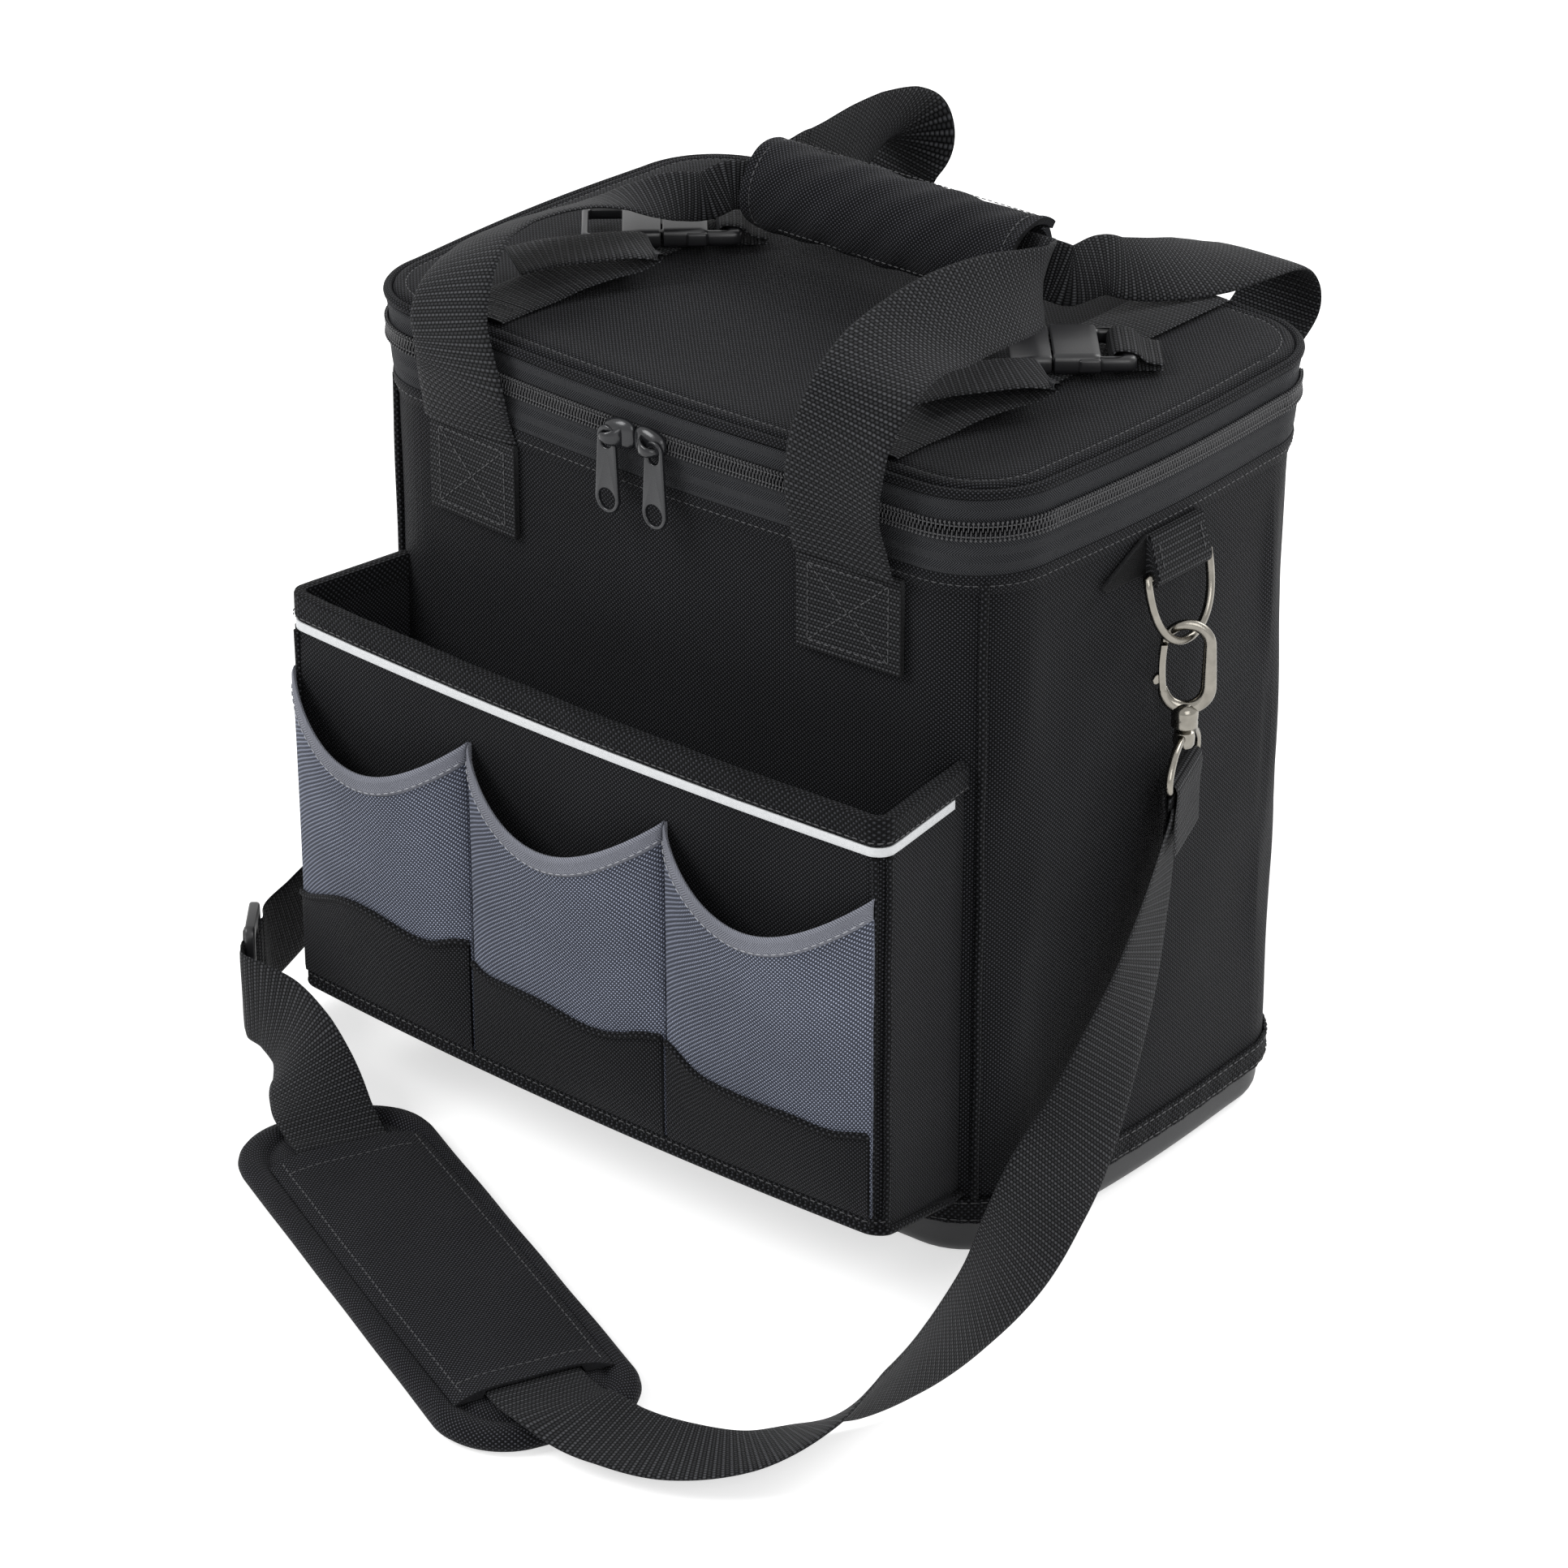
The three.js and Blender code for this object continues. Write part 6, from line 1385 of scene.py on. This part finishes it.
# Patch pockets.
# Three blue-grey gusseted patches side by side, pinched flat at the dividers and full between
# them, with a paler folded tape on each rim and a black base panel edged by a cord.
patch_cloth = woven_material(
    "patch_cloth", cloth_threads, (0.035, 0.039, 0.055), (0.62, 0.68, 0.87), 0.68, 0.0006, 0.2)
rim_tape = woven_material(
    "patch_rim_tape", herringbone, (0.1, 0.105, 0.125), (0.3, 0.31, 0.36), 0.65, 0.0002, 0.25)
pale_thread = hard_material("pale_thread", (0.3, 0.31, 0.34), (0.42, 0.43, 0.47), 0.6, 0.1, 0.00002)
patch_share = np.sin(np.linspace(-np.pi / 2, np.pi / 2, 71)) / 2 + 0.5


def patch_rim(u):
    """Rim height: it sags from 188 by 24 times a flattened sine."""
    return 188 - 24 * np.sin(np.pi * np.clip(u, 0, 1)) ** 0.9


def patch_skin(u, height, x0, x1, out):
    """Points of a patch's face: the pocket front plus 17 mm of fullness that grows with height
    and a sine across, with small gathers beside the dividers."""
    x = x0 + (x1 - x0) * u
    v = np.clip((height - 49) / 115, 0.0, 1.1)
    full = 17 * np.sin(np.pi * np.clip(u, 0.0, 1.0)) ** 0.7 * v**0.8
    near = np.exp(-((np.minimum(u, 1 - u) - 0.1) / 0.09) ** 2)
    gather = 0.9 * near * np.sin(height * 0.15 + 14 * u) * v + 0.35 * np.sin(9 * u + height * 0.05) * v
    return np.stack(np.broadcast_arrays(x, pocket_face(x) - 1.6 - full - gather * np.sin(np.pi * u) - out,
        height), -1)


def patch_layer(name, x0, x1, low, high, inner, outer, material, rows=24, u=patch_share):
    """Thin layer on a patch between two heights: up its outside and down its inside."""
    t = np.linspace(0, 1, rows)[None, :]
    height = low[:, None] + (high - low)[:, None] * t
    edge = 0.35 * (outer - inner) * np.where((t < 0.01) | (t > 0.99), 1, 0)
    face = patch_skin(u[:, None], height, x0, x1, outer - edge)
    back = patch_skin(u[:, None], height[:, ::-1], x0, x1, inner + edge)
    return loft(name, np.concatenate([face, back], 1), material, smooth=60)


edges = {
    "left": (-153.5, -52.4, [-149, -119, -99, -82, -68, -60], [86, 98.5, 99, 94, 94, 99]),
    "middle": (-51.6, 51.6, [-54, -41, -20, -1, 15, 31, 42], [91, 89, 92, 92, 88, 89, 94]),
    "right": (52.4, 153.5, [58, 72, 90, 122, 136, 149], [92.5, 86, 86, 86, 83, 86])}
for place, (x0, x1, marks, heights) in edges.items():
    u = patch_share
    x = x0 + (x1 - x0) * u
    top = patch_rim(u)
    cloth = patch_layer("patch_cloth_" + place, x0, x1, np.full(71, 49.0), top, -0.9, 0.0, patch_cloth,
        rows=44)
    settle(cloth, "bag", "patch_fabric", "patch_pocket_" + place)
    tape = patch_layer("patch_rim_" + place, x0, x1, top - 8, top + 0.9, -1.7, 0.8, rim_tape, rows=8)
    settle(tape, "bag", "patch_fabric")
    lean = np.tile([0.0, -1.0, 0.25], (71, 1))
    thread_line = patch_skin(u, top - 6.4, x0, x1, 1.0)
    settle(stitches("patch_rim_stitches_" + place, [(thread_line, lean)], material=pale_thread), "bag",
        "patch_fabric")
    bound = np.interp(x, marks, heights)
    bound = np.convolve(np.pad(bound, 4, "edge"), np.ones(9) / 9, "valid")
    foot = patch_layer("patch_base_" + place, x0 + 0.6, x1 - 0.6, np.full(71, 49.0), bound, 0.3, 1.5,
        body_cloth, rows=14)
    settle(foot, "bag", "body_fabric", "patch_pocket_base_" + place)
    cord = tube("patch_base_cord_" + place, patch_skin(u, bound, x0 + 0.8, x1 - 0.8, 1.5), 1.3,
        binding_cloth, steady=(0, 0, 1))
    settle(cord, "bag", "binding")

# Ring tabs and D-rings.
# Folded ribbed webbing holds a satin nickel D-ring on each side near the top; its tail is sewn
# flat to the panel and points down towards the front.
nickel = hard_material("satin_nickel", (0.15, 0.14, 0.12), (0.36, 0.34, 0.3), 0.18, 0.14, 0.00003,
    metallic=1.0, size=0.006)
RING_X, RING_Y, RING_Z = 170.6, 1.0, 276.0
for place, sx in (("left", -1), ("right", 1)):
    mirror = np.array([sx, 1, 1])
    a = np.radians(np.linspace(-25, -175, 14))
    fold = np.column_stack([RING_X + 4.3 * np.cos(a), RING_Z + 4.3 * np.sin(a)])
    lip = np.array([[166.1, 277.5], [166.1, 284], [166.2, 292.2], [167.2, 293], [168.6, 293],
        [169.9, 292.2], [171.6, 286],
                    [173.8, 279.5], [174.7, 276.4]])
    outline = np.concatenate([fold, lip])
    y = np.concatenate([[-15.9, -15.6], np.linspace(-14, 16, 12), [17.6, 17.9]])
    shrink = np.array([0.9, 1, *[1] * 12, 1, 0.9])
    centre = outline.mean(0)
    rings = np.stack([np.column_stack([(centre + (outline - centre) * k)[:, 0], np.full(len(outline), v),
                                       (centre + (outline - centre) * k)[:, 1]]) for k, v in zip(shrink,
                                       y)])
    around = gaps(np.concatenate([rings, rings[:, :1]], 1), 1)
    uv = np.stack(np.meshgrid(y + 30, around, indexing="ij")[::-1], -1)
    tab = loft("ring_tab_web_" + place, rings * mirror, strap_webbing, smooth=50, uv=uv)
    settle(tab, "bag", "webbing", "ring_tab_" + place)
    tail = flat_plate("ring_tab_tail_" + place,
        [[(-13, 276.6), (-13, 293), (-16, 293), (-43, 279.4), (-40, 277)]], 1.8, 0.5,
                      [[0, 1, 0], [0, 0, 1], [sx, 0, 0]], (sx * 167.1, 0, 0), strap_webbing)
    settle(tail, "bag", "webbing")
    z = np.linspace(279, 291, 12)
    lines = [(np.column_stack([np.full(12, v), np.full(12, y0), z]) * mirror, (sx, 0, 0.25))
             for v, y0 in ((173.3, -12), (173.3, 14))]
    for points, _ in lines:
        points[:, 0] = sx * (174.9 - 0.3 * (z - 276))
    settle(stitches("ring_tab_stitches_" + place, lines), "bag", "webbing")
    bar = np.column_stack([np.linspace(-18, 18, 14), np.zeros(14)])
    a = np.radians(np.linspace(0, 180, 42))
    arc = np.column_stack([19.25 * np.cos(a), 30.5 * np.sin(a) ** 0.75])
    loop = np.concatenate([bar, arc])
    lean = math.radians(11)
    path = np.column_stack([RING_X + loop[:, 1] * math.sin(lean), RING_Y + loop[:, 0],
        RING_Z - loop[:, 1] * math.cos(lean)])
    ring = tube("d_ring_wire_" + place, path * mirror, 1.75, nickel, closed=True, steady=(1, 0, 0),
        around=16)
    settle(ring, "clip_" + place, "nickel", "d_ring_" + place)

# Snap hooks.
# Die-cast satin nickel: an oval loop with a smooth thick back, a sprung gate with a thumb lever,
# a round neck that swivels on the eye, and a D-shaped eye that holds the strap's end.
HOOK_X = 176.42
hook_turn, eye_turn = math.radians(40), math.radians(112)
for place, sx in (("left", -1), ("right", 1)):
    mirror = np.array([sx, 1, 1])
    flat = np.array([math.cos(hook_turn), math.sin(hook_turn), 0])
    deep = np.array([-flat[1], flat[0], 0])
    origin = np.array([HOOK_X, RING_Y, 0])
    a = np.radians(np.linspace(180, 0, 26))
    crown = np.column_stack([8.9 * np.cos(a), 243.1 + 8.9 * np.sin(a)])
    back = np.column_stack([np.full(14, 8.9), np.linspace(241.5, 227, 14)])
    a = np.radians(np.linspace(0, -180, 26))
    foot = np.column_stack([8.9 * np.cos(a), 225.5 + 9.2 * np.sin(a)])
    line = np.concatenate([[[-8.9, 244.4]], crown[1:], back, foot])
    run = np.concatenate([[0], np.cumsum(np.linalg.norm(np.diff(line, axis=0), axis=1))])
    at = np.linspace(0, run[-1], 90)
    line = np.column_stack([np.interp(at, run, line[:, k]) for k in (0, 1)])
    radius = np.interp(at / run[-1], [0, 0.03, 0.3, 0.5, 0.65, 0.85, 0.97, 1],
        [1.5, 1.9, 2.3, 2.9, 3.2, 2.8, 2.2, 1.7])
    path = origin + line[:, :1] * flat + line[:, 1:] * np.array([0, 0, 1])
    hook = tube("hook_body_" + place, path * mirror, radius, nickel, steady=deep * mirror, around=18,
        squash=0.8)
    settle(hook, "clip_" + place, "nickel", "snap_hook_" + place)
    a = np.linspace(0, 2 * np.pi, 36, endpoint=False)
    circle = np.column_stack([np.cos(a), np.sin(a), 0 * a])
    levels = [(2.0, 208.2), (4.6, 208.2), (5.3, 208.8), (5.4, 210), (5.2, 211.4), (5.4, 212.4), (5.4, 215),
        (4.9, 216.6),
              (3.4, 218), (1.2, 218.6)]
    rings = np.array([circle * r + [0, 0, z] for r, z in levels]) + origin
    neck = loft("hook_neck_" + place, rings * mirror, nickel, smooth=40)
    settle(neck, "clip_" + place, "nickel")
    z = np.linspace(224.8, 244.0, 18)
    bow = 0.6 * np.sin(np.pi * (z - 224.8) / 19.2)
    corners = np.array([[-1.2, -2.6], [1.0, -2.6], [1.3, -2.0], [1.3, 2.0], [1.0, 2.6], [-1.2, 2.6],
        [-1.6, 1.6], [-1.6, -1.6]])
    rings = np.array([origin + (corners[:, :1] - 8.8 - b) * flat + corners[:, 1:] * deep + [0, 0, level]
                      for level, b in zip(z, bow)])
    gate = loft("hook_gate_plate_" + place, rings * mirror, nickel, smooth=50)
    settle(gate, "gate_" + place, "nickel", "hook_gate_" + place)
    thumb = np.array([[-10.2, 231.5], [-12.0, 230.6], [-13.2, 228.6], [-12.8, 226.8], [-11.4, 226.4],
        [-10.0, 227.4]])
    lever = flat_plate("hook_lever_" + place, [thumb], 2.8, 0.6, [flat * mirror, [0, 0, 1], deep * mirror],
                       origin * mirror, nickel)
    settle(lever, "gate_" + place, "nickel")
    over = np.array([math.cos(eye_turn), math.sin(eye_turn), 0])
    thick = np.array([over[1], -over[0], 0])
    marks = np.array([[-18.5, 188.2], [-8, 188.2], [8, 188.2], [18.5, 188.2], [20.4, 190.2], [20.2, 194.6],
        [14.3, 201.2],
                      [5.1, 204.2], [-5.1, 204.2], [-14.3, 201.2], [-20.2, 194.6], [-20.4, 190.2]])
    knots = np.concatenate([marks[-3:], marks, marks[:4]])
    fine, _, _ = smooth_path(np.column_stack([knots, np.zeros((len(knots), 5))]), 190)
    start = np.argmin(np.abs(fine[:95] - [*marks[0], 0]).sum(1))
    stop = 95 + np.argmin(np.abs(fine[95:] - [*marks[0], 0]).sum(1))
    wire = fine[start:stop, :2]
    path = origin + wire[:, :1] * over + wire[:, 1:] * np.array([0, 0, 1])
    eye = tube("eye_wire_" + place, path * mirror, 1.7, nickel, closed=True, steady=thick * mirror,
        around=14)
    settle(eye, "eye_" + place, "nickel", "swivel_eye_" + place)
    levels = [(1.2, 199.4), (3.6, 199.8), (4.3, 201), (4.4, 204), (4.0, 206.2), (2.4, 207.4), (1.9, 207.8),
        (1.9, 209.5)]
    rings = np.array([circle * r + [0, 0, z] for r, z in levels]) + origin
    barrel = loft("eye_barrel_" + place, rings * mirror, nickel, smooth=40)
    settle(barrel, "eye_" + place, "nickel")
    turn_back = [(2.2, 160), (2.3, 176), (2.9, 184), (2.9, 188), (1.7, 190.6), (-1.7, 190.6), (-2.9, 188),
        (-2.9, 184),
                 (-2.3, 176), (-2.2, 160)]
    route = [[*((origin + thick * q + [0, 0, z]) * mirror), *(over * mirror), 37] for q, z in turn_back]
    wrap, _ = webbing("strap_end_" + place, route, 1.3, 110)
    settle(wrap, "clip_" + place, "webbing")
